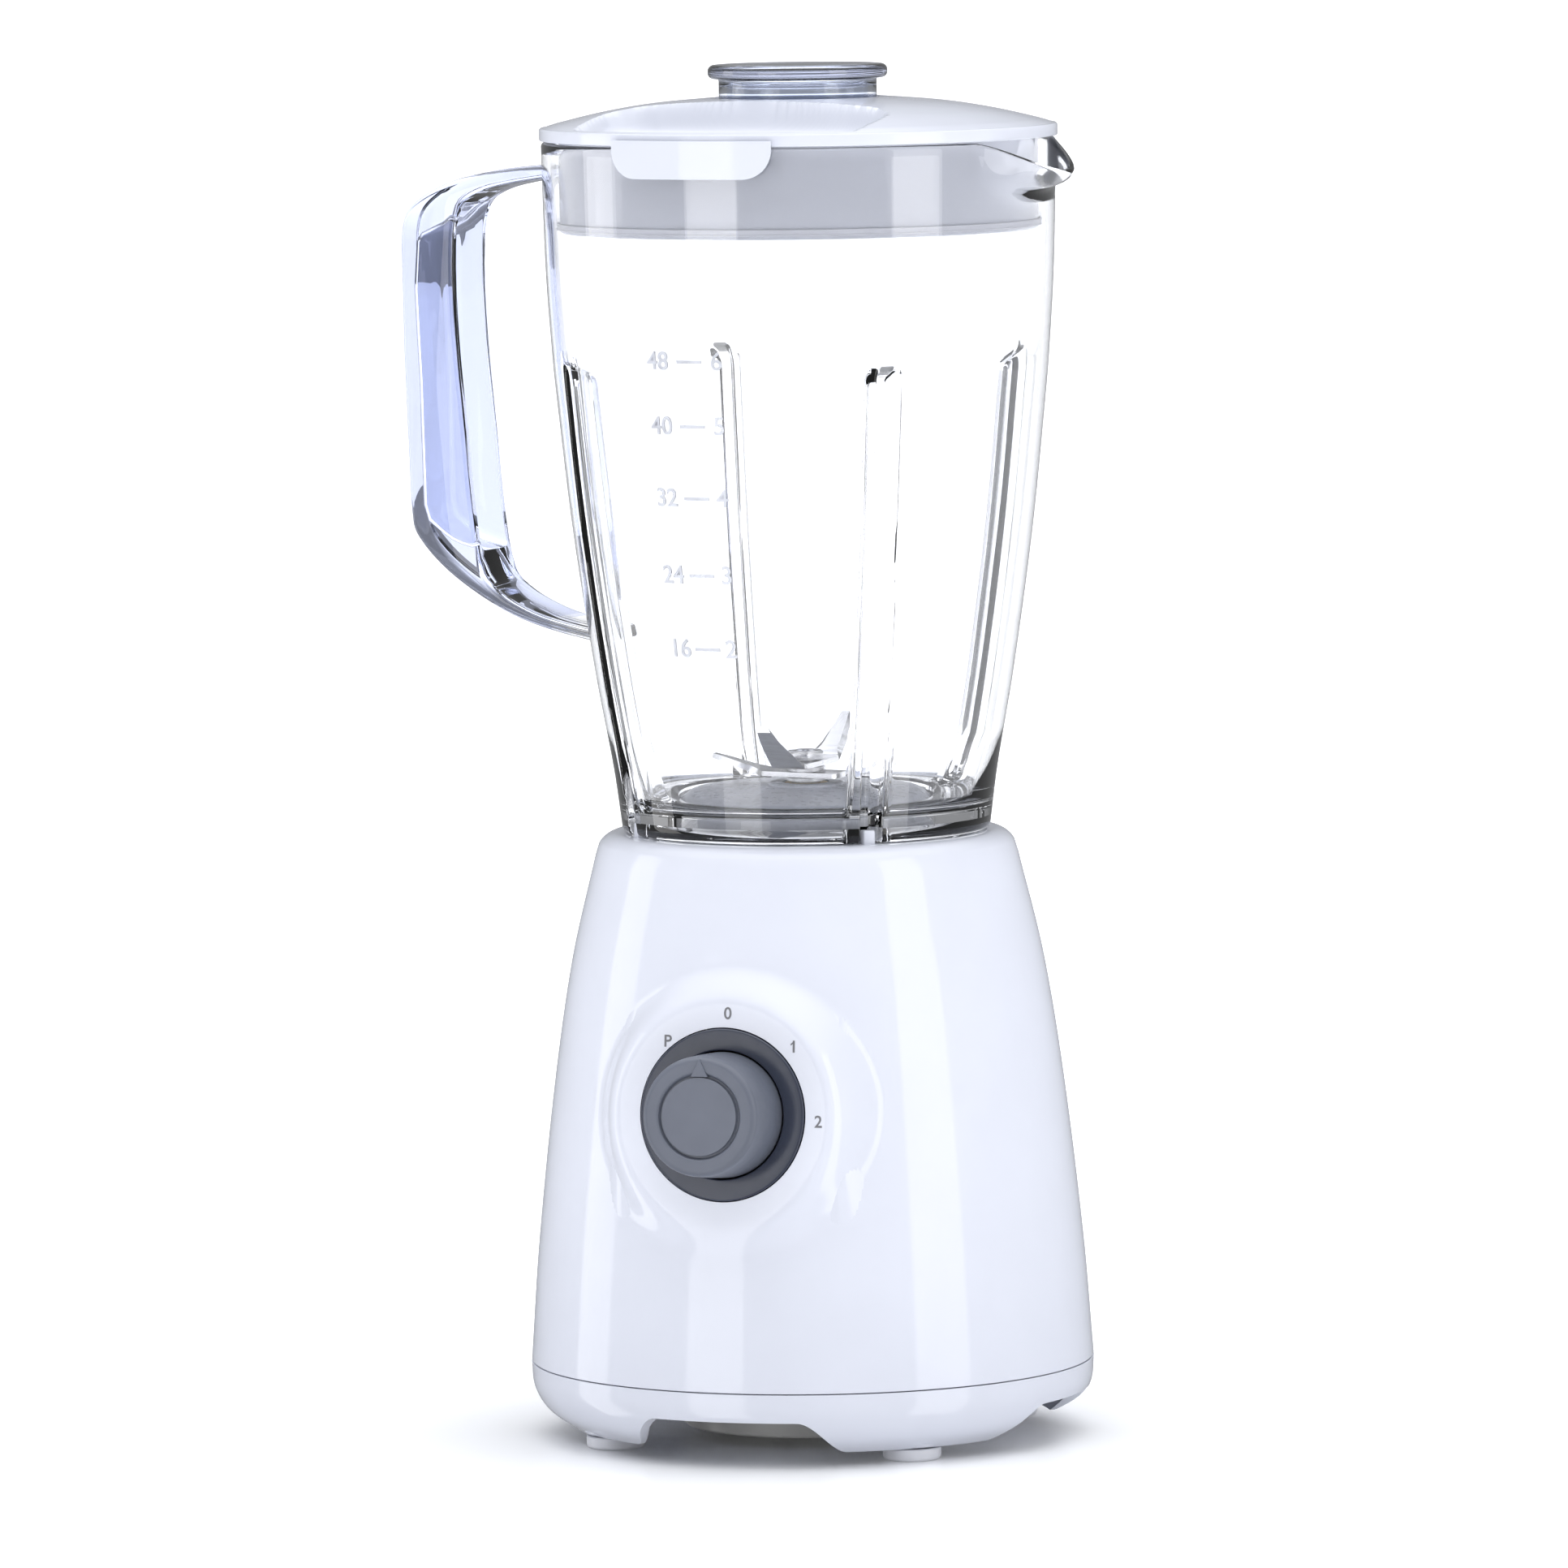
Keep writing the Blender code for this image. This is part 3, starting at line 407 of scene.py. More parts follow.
# %% [markdown]
# ## The base cover and its feet
# The cover closes the base from below. Its skirt stands on four legs with an arch between each pair,
# which lets cooling air in. Each arch has a flat top and S-shaped sides. The skirt is spun first, and
# then each of its columns is squeezed upward by the arch's height there, so that its rounded bottom edge
# follows the arch all the way.

# %% Base cover
cover_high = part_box("base_cover")[1]
skirt_z, cover_top, arch_top, floor_z = 3.7, cover_high.z / mm, 13.1, 14.0
pan_r, foot_circle, foot_spots = 36.0, 61.0, (45, 135, 225, 315)
outer_skirt = smooth_line([(67.7, skirt_z), (74.2, 8.5), (77.5, 14.2), (78.2, cover_top - 0.2)], 7)
inner_skirt = [*straight((72.6, floor_z), (71.8, 10), 4), *straight((71.8, 10), (66.4, skirt_z), 7)]
cover_top_inside = [(77.95, cover_top), (75.8, cover_top), (75.6, floor_z + 3.5), (74, floor_z + 2.5),
                    (33.5, floor_z + 2.5), (33.5, 5.6), (0, 5.6)]
pan = [(0, 3), *arc(0.8, 270, 360, 3, (pan_r - 0.8, 3.8)), (pan_r, floor_z)]


def arch_height(angle):
    """The skirt's bottom edge at an angle in degrees from the nearest arch's middle."""
    return arch_top + (skirt_z - arch_top) * (1 - fade(angle, 15.5, 26.5))


def radius_at(line, height):
    """The radius of a profile at a height, from the points on each side of it."""
    ordered = sorted(line, key=lambda point: point[1])
    for (low_radius, low), (high_radius, high) in zip(ordered, ordered[1:]):
        if height <= high:
            share = max(0, (height - low) / max(high - low, 1e-6))
            return low_radius + (high_radius - low_radius) * share
    return ordered[-1][0]


def lift_arches(bm):
    """Slides each column of the skirt up its own profile, so that its foot follows the arches."""
    for vert in bm.verts:
        radius, height = math.hypot(vert.co.x, vert.co.y) / mm, vert.co.z / mm
        if radius < 66 or height > cover_top - 0.4 or (radius < 76 and height > floor_z + 0.1):
            continue
        angle = math.atan2(vert.co.y, vert.co.x)
        bottom = arch_height(abs((math.degrees(angle) + 45) % 90 - 45))
        inner = height < floor_z + 0.1 and radius < 67 + (height - skirt_z) * 0.95
        line, fixed = (inner_skirt + [(66.4, skirt_z)], floor_z) if inner else (outer_skirt, cover_top)
        height = fixed - (fixed - height) * (fixed - bottom) / (fixed - skirt_z)
        radius = radius_at(line, height)
        vert.co = (radius * math.cos(angle) * mm, radius * math.sin(angle) * mm, height * mm)


cover_mesh = turned(pan + inner_skirt + [(66.4, skirt_z)] + outer_skirt + cover_top_inside, 360)
lift_arches(cover_mesh)
cover = piece("cover_shell", cover_mesh)
print("arch height from its middle:", [round(arch_height(angle), 1) for angle in (0, 16, 21, 26, 45)])

# %% [markdown]
# The legs are short towers inside the skirt, hollow for a screw head. Air slots in the pan let the fan
# draw air from under the machine. Each foot is a pad with a rounded rim, pushed into its leg.

# %% Legs, slots and feet
legs, leg_holes, slots = [], [], []
for number, angle in enumerate(foot_spots, 1):
    turn = Matrix.Rotation(math.radians(angle), 4, "Z")
    spot = upright @ turn @ Matrix.Translation((foot_circle * mm, 0, 0))
    leg = turned([(0, 4), (8.1, 4), (8.6, 4.5), (9.2, floor_z + 1), (0, floor_z + 1)], 48)
    legs.append(piece(f"leg_{number}", leg, spot))
    hole = turned([(0, 2), (4, 2), (4, 9), (2.3, 9), (2.3, 18), (0, 18)], 32)
    leg_holes.append(piece(f"leg_hole_{number}", hole, spot))
    pad = turned([(0, 0), (6.9, 0), *arc(1.1, 270, 360, 5, (6.9, 1.1)), (8, 3.1), (7.7, 3.4), (3.6, 3.4),
                  (3.6, 5.6), (0, 5.6)], 64)
    foot = piece(f"foot_{number}", pad, spot)
    finish_piece(foot, "base", foot_rubber, "foot_rubber", f"foot_pad_{number}")
for number in range(8):
    slot_shape = prism([(16.5, -1.6), (27.5, -1.6), (27.5, 1.6), (16.5, 1.6)], 0, 8)
    turn = Matrix.Rotation(number * math.tau / 8, 4, "Z")
    slots.append(piece(f"slot_{number}", slot_shape, upright @ turn))
carve(cover, "UNION", legs)
carve(cover, "DIFFERENCE", leg_holes + slots)
finish_piece(cover, "base", gloss_white, "white_plastic", "base_cover")
# The pan is part of the white cover moulding; its warm grey is painted shade, for the shadow under the machine.
cover.data.materials.append(pan_painted_shade)
for face in cover.data.polygons:
    from_axis = math.hypot(face.center.x - axis_x, face.center.y - axis_y)
    face.material_index = int(from_axis < (pan_r + 0.2) * mm and face.center.z < floor_z * mm)
print("the pan under the cover is a warmer grey")

# %% [markdown]
# ## The dial
# A dark ring is let into the boss, and the knob stands out of it with a narrow black gap all round. The
# knob's face has a shallow groove round a disc, and a small raised triangle that points to the setting.
# All of it is turned about the dial's own sloping axis.

# %% Ring and knob
ring = [(17.6, -3.4), (ring_r, -3.4), (ring_r, 0.1), *arc(0.6, 0, 90, 4, (ring_r - 0.6, 0.1)),
        *arc(0.4, 90, 180, 4, (18, 0.3))]
bezel = piece("ring_bezel", turned(ring, 144), dial_place)
finish_piece(bezel, "base", slate_gloss, "slate_plastic", "dial_ring")

knob_out = 19.7
knob_side = [(0, 12), (3.3, 12), (3.3, -1.5), *arc(0.5, 270, 350, 3, (16.7, -1)), (16.9, 8),
             *arc(1.8, 5, 90, 8, (14.6, knob_out - 1.8))]
knob_face = [(12.4, knob_out), *arc(0.6, 90, 170, 3, (12.2, knob_out - 0.6)), (11.2, knob_out - 1.1),
             (10.7, knob_out - 1.1), *arc(0.6, 190, 90, 4, (10.6, knob_out - 0.6))[1:], (0, knob_out)]
knob = piece("knob_grip", turned(knob_side + knob_face, 144), dial_place)
pointer = prism([(0, 15.6), (-2.4, 10.8), (2.4, 10.8)], knob_out - 1, knob_out + 0.45)
round_edges(pointer, 0.15)
carve(knob, "UNION", [piece("pointer", pointer, dial_place)])
finish_piece(knob, "selector", satin_grey, "grey_plastic", "knob")

# %% [markdown]
# The settings are printed round the ring: P for the pulse, then 0, 1 and 2. Each mark is a text object
# made into a thin mesh and laid on the boss, which is flat there.

# %% Printed settings
def lettering(name, text, size, thickness):
    """A centred text made into a mesh, with its size and thickness in millimetres."""
    curve = bpy.data.curves.new(name, "FONT")
    curve.body, curve.size, curve.extrude = text, size * mm, thickness * mm / 2
    curve.offset = 0.07 * mm
    curve.align_x, curve.align_y = "CENTER", "CENTER"
    curve.resolution_u = 6
    holder = bpy.data.objects.new(name, curve)
    scene.collection.objects.link(holder)
    bpy.context.view_layer.update()
    mesh = bpy.data.meshes.new_from_object(holder.evaluated_get(bpy.context.evaluated_depsgraph_get()))
    bpy.data.objects.remove(holder)
    bm = bmesh.new()
    bm.from_mesh(mesh)
    bmesh.ops.remove_doubles(bm, verts=bm.verts, dist=1e-6)
    return bm


for text, across, up in (("P", -16.2, 19.6), ("0", 1, 27.5), ("1", 20.1, 18.9), ("2", 27.5, -1.3)):
    spot = Matrix.Translation((across * mm, up * mm, 0.02 * mm))
    mark = piece(f"setting_{text}", lettering(f"text_{text}", text, 4.6, 0.06), dial_place @ spot)
    finish_piece(mark, "base", dial_ink, "slate_plastic")
flag = prism([(19.1, 19.7), (20, 20.45), (20, 19.95), (19.3, 19.35)], 0, 0.05)
finish_piece(piece("setting_1_flag", flag, dial_place), "base", dial_ink, "slate_plastic")

# %% [markdown]
# ## The jug wall
# The jug is one moulding in a clear styrene plastic: a tapering wall, a rounded rim, a thin foot and a
# neck that carries the blades. Four grooves run up the wall. They stiffen it, throw the fruit back to the
# middle and drop over the lugs of the base. The wall is spun plain, and then one function presses the
# grooves in and draws the spout out. The columns are crowded toward the grooves, where the surface turns
# sharply.

# %% Jug wall
rim_z, foot_z, jug_wall, floor_under = 359.4, 168.6, 2.4, 172.6
jug_points = [(51, foot_z + 1), (53.2, 186), (57.9, 212.5), (63.6, 252), (67.8, 291), (68.6, 300), (70, 321),
              (70.7, 342), (71, rim_z - 1.2)]
jug_outside = smooth_line(jug_points, 7)
groove_depth, groove_top = 6.5, 300.0
spout_reach, spout_half, spout_root, spout_dip = 81.6, 23.0, 342.0, 8.0


def press_and_draw(bm):
    """Presses the four grooves into the wall and draws the spout out of the rim."""
    for vert in bm.verts:
        radius, height = math.hypot(vert.co.x, vert.co.y) / mm, vert.co.z / mm
        angle = math.degrees(math.atan2(vert.co.y, vert.co.x))
        middle = math.floor(angle / 90 + 1e-6) * 90 + 45
        share = (angle - middle) / 45
        from_groove = 45 * (0.22 * share + 0.78 * share ** 3)
        angle = middle + from_groove
        if radius > 44:
            outer = radius > radius_at(jug_outside, height) - jug_wall / 2
            side = math.radians(abs(from_groove)) * radius
            across = fade(side, 1.5, 3.4) if outer else fade(side, 3.3, 6.2)
            radius -= groove_depth * across * fade(height, groove_top - 5, groove_top)
        lift = fade(abs(angle), 0, spout_half) * (1 - fade(height, spout_root, rim_z))
        radius += (spout_reach - 71) * lift
        height -= spout_dip * lift
        turn = math.radians(angle)
        vert.co = (radius * math.cos(turn) * mm, radius * math.sin(turn) * mm, height * mm)


rim = arc(1.2, 0, 180, 8, (69.8, rim_z - 1.2))[1:]
jug_inside = [(radius - jug_wall, height) for radius, height in jug_outside[-2:8:-1]]
bowl = arc(5, 350, 270, 6, (43.5, floor_under + 8))
neck = [*straight((43, floor_under + 3), (36.5, floor_under + 3), 4), (36, floor_under + 2.5), (36, 158),
        (39.5, 158), (39.5, floor_under)]
foot_rim = [*straight((40.5, floor_under), (48.4, floor_under), 6), (48.4, foot_z + 0.8),
            *arc(1, 210, 350, 5, (49.8, foot_z + 1))]
jug_mesh = turned(jug_outside + rim + jug_inside + bowl + neck + foot_rim, 384)
press_and_draw(jug_mesh)
jug = piece("jug_body", jug_mesh, jug_place, 60)
print("jug wall has", len(jug.data.polygons), "faces")

# %% [markdown]
# The handle is moulded with the jug. Its grip is hollow: a channel open toward the jug keeps the plastic
# thin, so that it cools evenly, and gives the fingers two edges to hold. The outline is drawn from the
# side and extruded, its edges are rounded, and the channel is cut out before the handle joins the wall.

# %% Handle
grip_reach, handle_half, grip_wall = 118.0, 11.0, 2.6
handle_top = smooth_line([(69.4, 352.6), (84, 351.3), (99, 348.5), (107, 345.6), (113, 342), (116.5, 338.3),
                          (117.9, 333), (grip_reach, 325)], 4)
handle_grip = smooth_line([(117.7, 300), (116.7, 272), (115.6, 252), (113.4, 247.3), (107, 240.4),
                           (97.8, 233.6), (85.2, 226.8), (72.6, 222.6), (58, 219.4)], 4)
handle_gap = smooth_line([(59.2, 223), (72.9, 226.2), (80, 228.6), (88, 232.8), (93.4, 238.2), (96.7, 255.7),
                          (98.7, 277), (101.2, 305), (101.7, 330), (99.6, 340.4), (94, 344.4), (84, 346.9),
                          (69.4, 349)], 4)
handle_mesh = prism([(-reach, height) for reach, height in handle_top + handle_grip + handle_gap],
                    -handle_half, handle_half)
round_edges(handle_mesh, 1.5, 60, 5)
side_on = jug_place @ Matrix.Rotation(math.radians(90), 4, "X")
handle = piece("handle", handle_mesh, side_on, 60)
channel = smooth_line([(112.9, 257), (113.6, 290), (113.9, 331), (106, 336), (99.5, 341.2), (90, 342)], 3)
channel += [(90, 243.4), *smooth_line([(96, 244.5), (104, 247), (111.4, 252.4)], 3)]
channel_mesh = prism([(-reach, height) for reach, height in channel], grip_wall - handle_half,
                     handle_half - grip_wall)
round_edges(channel_mesh, 2.2, 60, 5)
carve(handle, "DIFFERENCE", [piece("channel", channel_mesh, side_on, 60)], 60)
carve(jug, "UNION", [handle], 60)
finish_piece(jug, "jug", clear_jug, "clear_plastic", "jug")
jug.data.materials.append(clear_handle)
along_handle = (jug_place @ Vector((-1, 0, 0)) - jug_place @ Vector((0, 0, 0))).normalized()
for face in jug.data.polygons:
    reach = (face.center - Vector((axis_x, axis_y, 0))).dot(along_handle)
    face.material_index = int(reach > 72.5 * mm)
print("the handle's thicker plastic reads deeper in colour than the wall")

# %% [markdown]
# ## The scale on the jug
# The scale stands in the wall as raised marks: a short bar for each cup, with ounces on its left and cups
# on its right. Each mark is made flat, and then every point is wrapped onto the wall at its own height.

# %% Scale marks
def wrap(bm, angle, height):
    """Wraps a flat mesh on the jug's outside, with its middle at an angle and a height in millimetres."""
    for vert in bm.verts:
        across, up, out = vert.co / mm
        radius = radius_at(jug_outside, height + up) + 0.02 + out
        turn = math.radians(angle) + across / radius
        vert.co = (radius * math.cos(turn) * mm, radius * math.sin(turn) * mm, (height + up) * mm)
    return bm


def bar(width, height, thickness):
    bm = bmesh.new()
    bmesh.ops.create_cube(bm, size=mm)
    bmesh.ops.scale(bm, vec=(width, height, thickness), verts=bm.verts)
    sides = [edge for edge in bm.edges if abs(edge.verts[0].co.x - edge.verts[1].co.x) > 0.5 * width * mm]
    bmesh.ops.subdivide_edges(bm, edges=sides, cuts=10, use_grid_fill=True)
    return bm


for cups, height in ((6, 301.5), (5, 283.8), (4, 264.1), (3, 242.9), (2, 222.6)):
    marks = (("ounces", -99.6, lettering("ounces", str(cups * 8), 7, 0.3)),
             ("bar", -91.4, bar(7.5, 0.9, 0.3)),
             ("cups", -84.6, lettering("cups", str(cups), 7, 0.3)))
    for kind, angle, flat in marks:
        mark = piece(f"mark_{kind}_{cups}", wrap(flat, angle, height), jug_place)
        finish_piece(mark, "jug", frosted_mark, "clear_plastic")

# %% [markdown]
# ## The lid
# The lid has a low dome, a deep skirt that plugs the jug and a socket for the cap. A wide scoop is sunk
# in the dome beside a tab, so that a thumb can lift the lid by it. The dome is spun with fine rows, and
# its top and its underside are both pressed down inside the scoop's outline, a rounded rectangle that
# runs off the rim.

# %% Lid dome and scoop
lid_r, lid_edge, scoop_z, plug_low = 71.5, 359.8, 362.0, 334.5
dome = smooth_line([(70.95, 363.15), (66.3, 364.55), (54, 367.4), (41, 369.5), (23.6, 371)], 20)
lid_rim = [*arc(0.4, 270, 360, 3, (lid_r - 0.4, lid_edge + 0.4)), *arc(0.7, 0, 60, 3, (lid_r - 0.7, 362.6))]
socket = [*arc(0.8, 90, 180, 4, (22.9, 370.2)), (22.1, 366.4), (21.7, 366), (20.6, 366), (20.6, 358),
          (24.6, 358), (24.6, 368.4), (25, 368.8)]
dome_under = straight((26, 368.8), (41, 367.4), 14) + straight((41, 367.4), (62, 362.6), 20) + [(62, 362.6)]
skirt_in = [(63.2, 361.6), (64, 359.9), (64, 335.2), *arc(1.1, 180, 360, 6, (65.1, plug_low + 1.1))]
skirt_out = [(66.2, 345), (66.2, 356), *arc(0.5, 180, 90, 2, (66.7, lid_edge - 0.5))]


def scoop_share(x, y, spare):
    """1 on the scoop's floor and 0 outside it, with a soft wall between."""
    across = abs(x) - (42.5 + spare - 10)
    along = y - (-27 + spare - 10)
    past_corner = math.hypot(max(across, 0), max(along, 0)) + min(max(across, along), 0) - 10
    return fade(past_corner, -3.2, 0)


def press_scoop(bm):
    for vert in bm.verts:
        x, y, z = vert.co / mm
        radius = math.hypot(x, y)
        if radius > 22.9 and z > scoop_z:
            top = z - dome_height(radius) > -1.2
            share = scoop_share(x, y, 0 if top else 2.2) * fade(radius, 68, 69.6)
            pocket = 0.9 * fade(abs(x), 5, 8) * fade(abs(y + 61.5), 1.6, 3.4) if top else 0
            floor = (scoop_z if top else scoop_z - 2.2) - pocket
            vert.co.z = (z + (floor - z) * share) * mm
            vert.tag = top and share > 0.01 and 25 < radius < 67
    # The slope crosses the round rows, so its heights are evened out until no steps are left.
    slope = [vert for vert in bm.verts if vert.tag]
    for _ in range(6):
        bmesh.ops.smooth_vert(bm, verts=slope, factor=0.5, use_axis_z=True)


def dome_height(radius):
    """The dome's height at a radius."""
    for (outer, low), (inner, high) in zip(dome, dome[1:]):
        if radius >= inner:
            return low + (high - low) * min(max((outer - radius) / (outer - inner), 0), 1)
    return dome[-1][1]


lid_mesh = turned(lid_rim + dome[1:] + socket + dome_under + skirt_in + skirt_out, 360)
crowd(lid_mesh, math.radians(-90), 0.4)
press_scoop(lid_mesh)
lid = piece("lid_dome", lid_mesh, jug_place)
print("lid has", len(lid.data.polygons), "faces")

# %% [markdown]
# The tab hangs from the rim in front of the jug wall. It is a plate with rounded lower corners, made flat
# as a grid whose columns get shorter toward each end, then thickened and bent round the lid.

# %% Tab, lid and seal
tab_half, tab_corner, tab_low, tab_high = 24.1, 8.0, 351.1, 361.5


def tab_plate():
    bm = bmesh.new()
    bmesh.ops.create_grid(bm, x_segments=80, y_segments=12, size=1)
    for vert in bm.verts:
        side = tab_half * math.sin(vert.co.x * math.pi / 2)
        beyond = max(0, abs(side) - (tab_half - tab_corner))
        bottom = tab_low + tab_corner - math.sqrt(max(tab_corner ** 2 - beyond ** 2, 0))
        vert.co = (side * mm, 0, (bottom + (tab_high - bottom) * (vert.co.y + 1) / 2) * mm)
    made = bmesh.ops.extrude_face_region(bm, geom=bm.faces[:])
    front = [item for item in made["geom"] if isinstance(item, bmesh.types.BMVert)]
    bmesh.ops.translate(bm, vec=(0, 1.75 * mm, 0), verts=front)
    bmesh.ops.recalc_face_normals(bm, faces=bm.faces)
    round_edges(bm, 0.45, 60)
    for vert in bm.verts:
        radius = lid_r + 0.02 + vert.co.y / mm
        turn = math.radians(-90) + vert.co.x / mm / (lid_r + 1)
        vert.co = (radius * math.cos(turn) * mm, radius * math.sin(turn) * mm, vert.co.z)
    return bm


tab = piece("tab", tab_plate(), jug_place)
web_ring = turned([(69.4, 359.9), (lid_r + 0.6, 359.9), (lid_r + 0.6, 361.3), (69.4, 361.3)], 360)
web = piece("tab_web", web_ring, jug_place)
print("tab spans", round(math.degrees(tab_half / (lid_r + 1)) * 2, 1), "degrees")

# %% [markdown]
# A narrow web carries the tab on the rim. It only needs to be behind the tab, so the rest of that ring is
# cut away before the three shapes become the lid. The seal is a soft ring in the skirt that grips the
# jug's wall.

# %% Join the lid
web_cut = piece("web_cut", prism([(-90, -62), (90, -62), (90, 90), (-90, 90)], 350, 370), jug_place)
web_sides = []
for side in (1, -1):
    flank = [(side * 21, -90), (side * 95, -90), (side * 95, -50), (side * 21, -50)]
    web_sides.append(piece(f"web_side_{side}", prism(flank, 350, 370), jug_place))
carve(web, "DIFFERENCE", [web_cut, *web_sides])
carve(lid, "UNION", [web, tab])
finish_piece(lid, "lid", gloss_white, "white_plastic", "lid")
seal = turned([*arc(0.25, 270, 450, 4, (66.8, 335.8)), *arc(0.25, 270, 450, 4, (66.8, 337.1)),
               (66.5, 337.35), (66.5, 335.5)], 240)
finish_piece(piece("lid_ring", seal, jug_place), "lid", seal_rubber, "seal_rubber", "lid_seal")

# %% [markdown]
# ## The measuring cap
# The cap is a clear cup upside down in the lid's socket. Turned over, it measures small amounts. Its
# flange is what the fingers lift it by, so it has a full round edge.

# %% Measuring cap
cap_top, flange_r = 380.0, 24.8
cap_outside = [(0, cap_top), (10, cap_top), (20, cap_top),
               *arc(1.7, 90, 0, 6, (flange_r - 1.7, cap_top - 1.7)),
               *arc(1.6, 0, -90, 6, (flange_r - 1.6, 376.2 + 1.6)), *arc(0.6, 90, 180, 3, (22.4, 375.6)),
               (21.8, 366.8), (21.4, 366.3), (20.3, 366.3), (20.2, 360), (19.9, 345.6)]
cap_inside = [*arc(0.6, 0, -90, 2, (19.3, 345.6)), *arc(0.6, 270, 180, 2, (18.6, 345.6)), (18.4, 366),
              (19.6, 368), (19.6, 375.4), *arc(2, 0, 90, 4, (17.6, 375.4)), (8, 377.4), (0, 377.4)]
cap = piece("cap_cup", turned(cap_outside + cap_inside, 192), jug_place)
finish_piece(cap, "cap", clear_cap, "clear_plastic", "measuring_cap")
cap.data.materials.append(clear_handle)
for face in cap.data.polygons:
    face.material_index = int(math.hypot(*(face.center - jug_place.translation).xy) > 22 * mm)

# %% [markdown]
# ## The blade unit
# The carrier screws into the jug's neck from below with its collar. A bronze bush in its middle guides
# the shaft, and two crossed blades are clamped on the shaft by a nut. Each blade is one stamped bar with
# its ends bent up and ground to an edge. The carrier shows through the clear wall, so it gets rounded
# corners.

# %% Carrier and blades
carrier = [(39.3, 153.2), (39.3, 155.5), (35.4, 155.7), (35.4, 169.5), *arc(5, 10, 80, 6, (30.4, 171.3)),
           *straight((30, 176.3), (13, 177.7), 6), (11.2, 178), *arc(0.8, 0, 90, 3, (9.7, 178.2)),
           (6.5, 179), (6.4, 157.2), (10.5, 157.2), (10.5, 170.5), (31, 169), (33, 166), (33, 153.2)]
finish_piece(piece("carrier", turned(carrier, 144), jug_place), "jug", mount_grey, "blade_mount_plastic",
             "blade_carrier")


def bent_blade(name, reach, rise, height, angle):
    flat, thick = 11.0, 1.6
    bm = bmesh.new()
    bmesh.ops.create_grid(bm, x_segments=56, y_segments=8, size=1)
    for vert in bm.verts:
        along, across = vert.co.x * reach, vert.co.y
        past = max(0, abs(along) - flat) / (reach - flat)
        half = 5 * (1 - 0.6 * past ** 1.3)
        vert.co = (along * mm, across * half * mm, (height + rise * past) * mm)
    made = bmesh.ops.extrude_face_region(bm, geom=bm.faces[:])
    upper = [item for item in made["geom"] if isinstance(item, bmesh.types.BMVert)]
    bmesh.ops.translate(bm, vec=(0, 0, thick * mm), verts=upper)
    for vert in upper:
        past = max(0, abs(vert.co.x) / mm - flat) / (reach - flat)
        vert.co.y *= 1 - 0.42 * min(past * 4, 1)
    blade = piece(f"{name}_bar", bm, jug_place @ Matrix.Rotation(math.radians(angle), 4, "Z"), 25)
    bore = turned([(0, height - 2), (3.25, height - 2), (3.25, height + 4), (0, height + 4)], 32)
    carve(blade, "DIFFERENCE", [piece("bore", bore, jug_place)], 25)
    finish_piece(blade, "blades", blade_steel, "blade_steel", name)


bent_blade("lower_blade", 28, 5, 180.9, 0)
bent_blade("upper_blade", 27, 13, 184.5, 90)

# %% [markdown]
# The nut is a hexagon with its edges lightly bevelled; a real nut has its corners chamfered by turning
# before it is plated.

# %% Nut and shaft
nut = prism(arc(5.4, 0, 300, 5, (0, 0)), 186.4, 189.6)
round_edges(nut, 0.35, 40)
nut_piece = piece("nut", nut, jug_place)
carve(nut_piece, "DIFFERENCE", [piece("nut_bore", turned([(0, 185), (3.25, 185), (3.25, 191), (0, 191)], 32),
                                      jug_place)])
finish_piece(nut_piece, "blades", turned_steel, "steel", "blade_nut")
shaft = turned([(0, 152.6), (3.7, 152.6), (4, 152.9), (4, 179.6), (5.6, 179.6), (5.6, 180.6), (3, 180.6),
                (3, 189.6), (2.6, 190), (0, 190)], 64)
finish_piece(piece("shaft", shaft, jug_place), "blades", turned_steel, "steel", "blade_shaft")

# %% [markdown]
# ## The collar and the cord gland
# The collar clamps the carrier from below. It has ribs round its side, because it is unscrewed by hand for
# cleaning. At the back, a ribbed rubber gland lines the hole where the cord enters.

# %% Collar and gland
collar_profile = [(33.5, 150), (34, 149.5), (41.4, 149.5), *arc(0.8, 270, 360, 3, (41.4, 150.3)),
                  (42.2, 165.4), (41.6, 166), (40, 166), (40, 152.7), (33.5, 152.7)]
collar = piece("collar", turned(collar_profile, 180), jug_place)
ribs = []
for number in range(24):
    rib = prism([(41.6, -1.1), (43.1, -0.6), (43.1, 0.6), (41.6, 1.1)], 151, 165)
    ribs.append(piece(f"rib_{number}", rib, jug_place @ Matrix.Rotation(number * math.tau / 24, 4, "Z")))
carve(collar, "UNION", ribs)
finish_piece(collar, "jug", mount_grey, "blade_mount_plastic", "blade_collar")
gland_profile = [(3.2, 70.3), (3.5, 70), (7.6, 70), (8, 70.4), (8, 73.2), (6, 73.2), (6, 78.6), (8.2, 78.6),
                 (8.5, 78.9), (8.5, 80.5), (8.2, 80.9), (7.2, 81.2), (7, 81.8), (6.8, 82), (3.5, 82),
                 (3.2, 81.7)]
gland = piece("gland", turned(gland_profile, 64), upright @ gland_turn)
finish_piece(gland, "base", soft_rubber, "rubber", "cord_gland")

# %% [markdown]
# ## The view
# The camera stands over three metres away with a long lens, a little above the jug's rim, and looks down
# five degrees. It is turned nineteen degrees round the blender, so that the dial faces left of it and the
# handle and the spout both show. From so far away the sides stay nearly parallel.

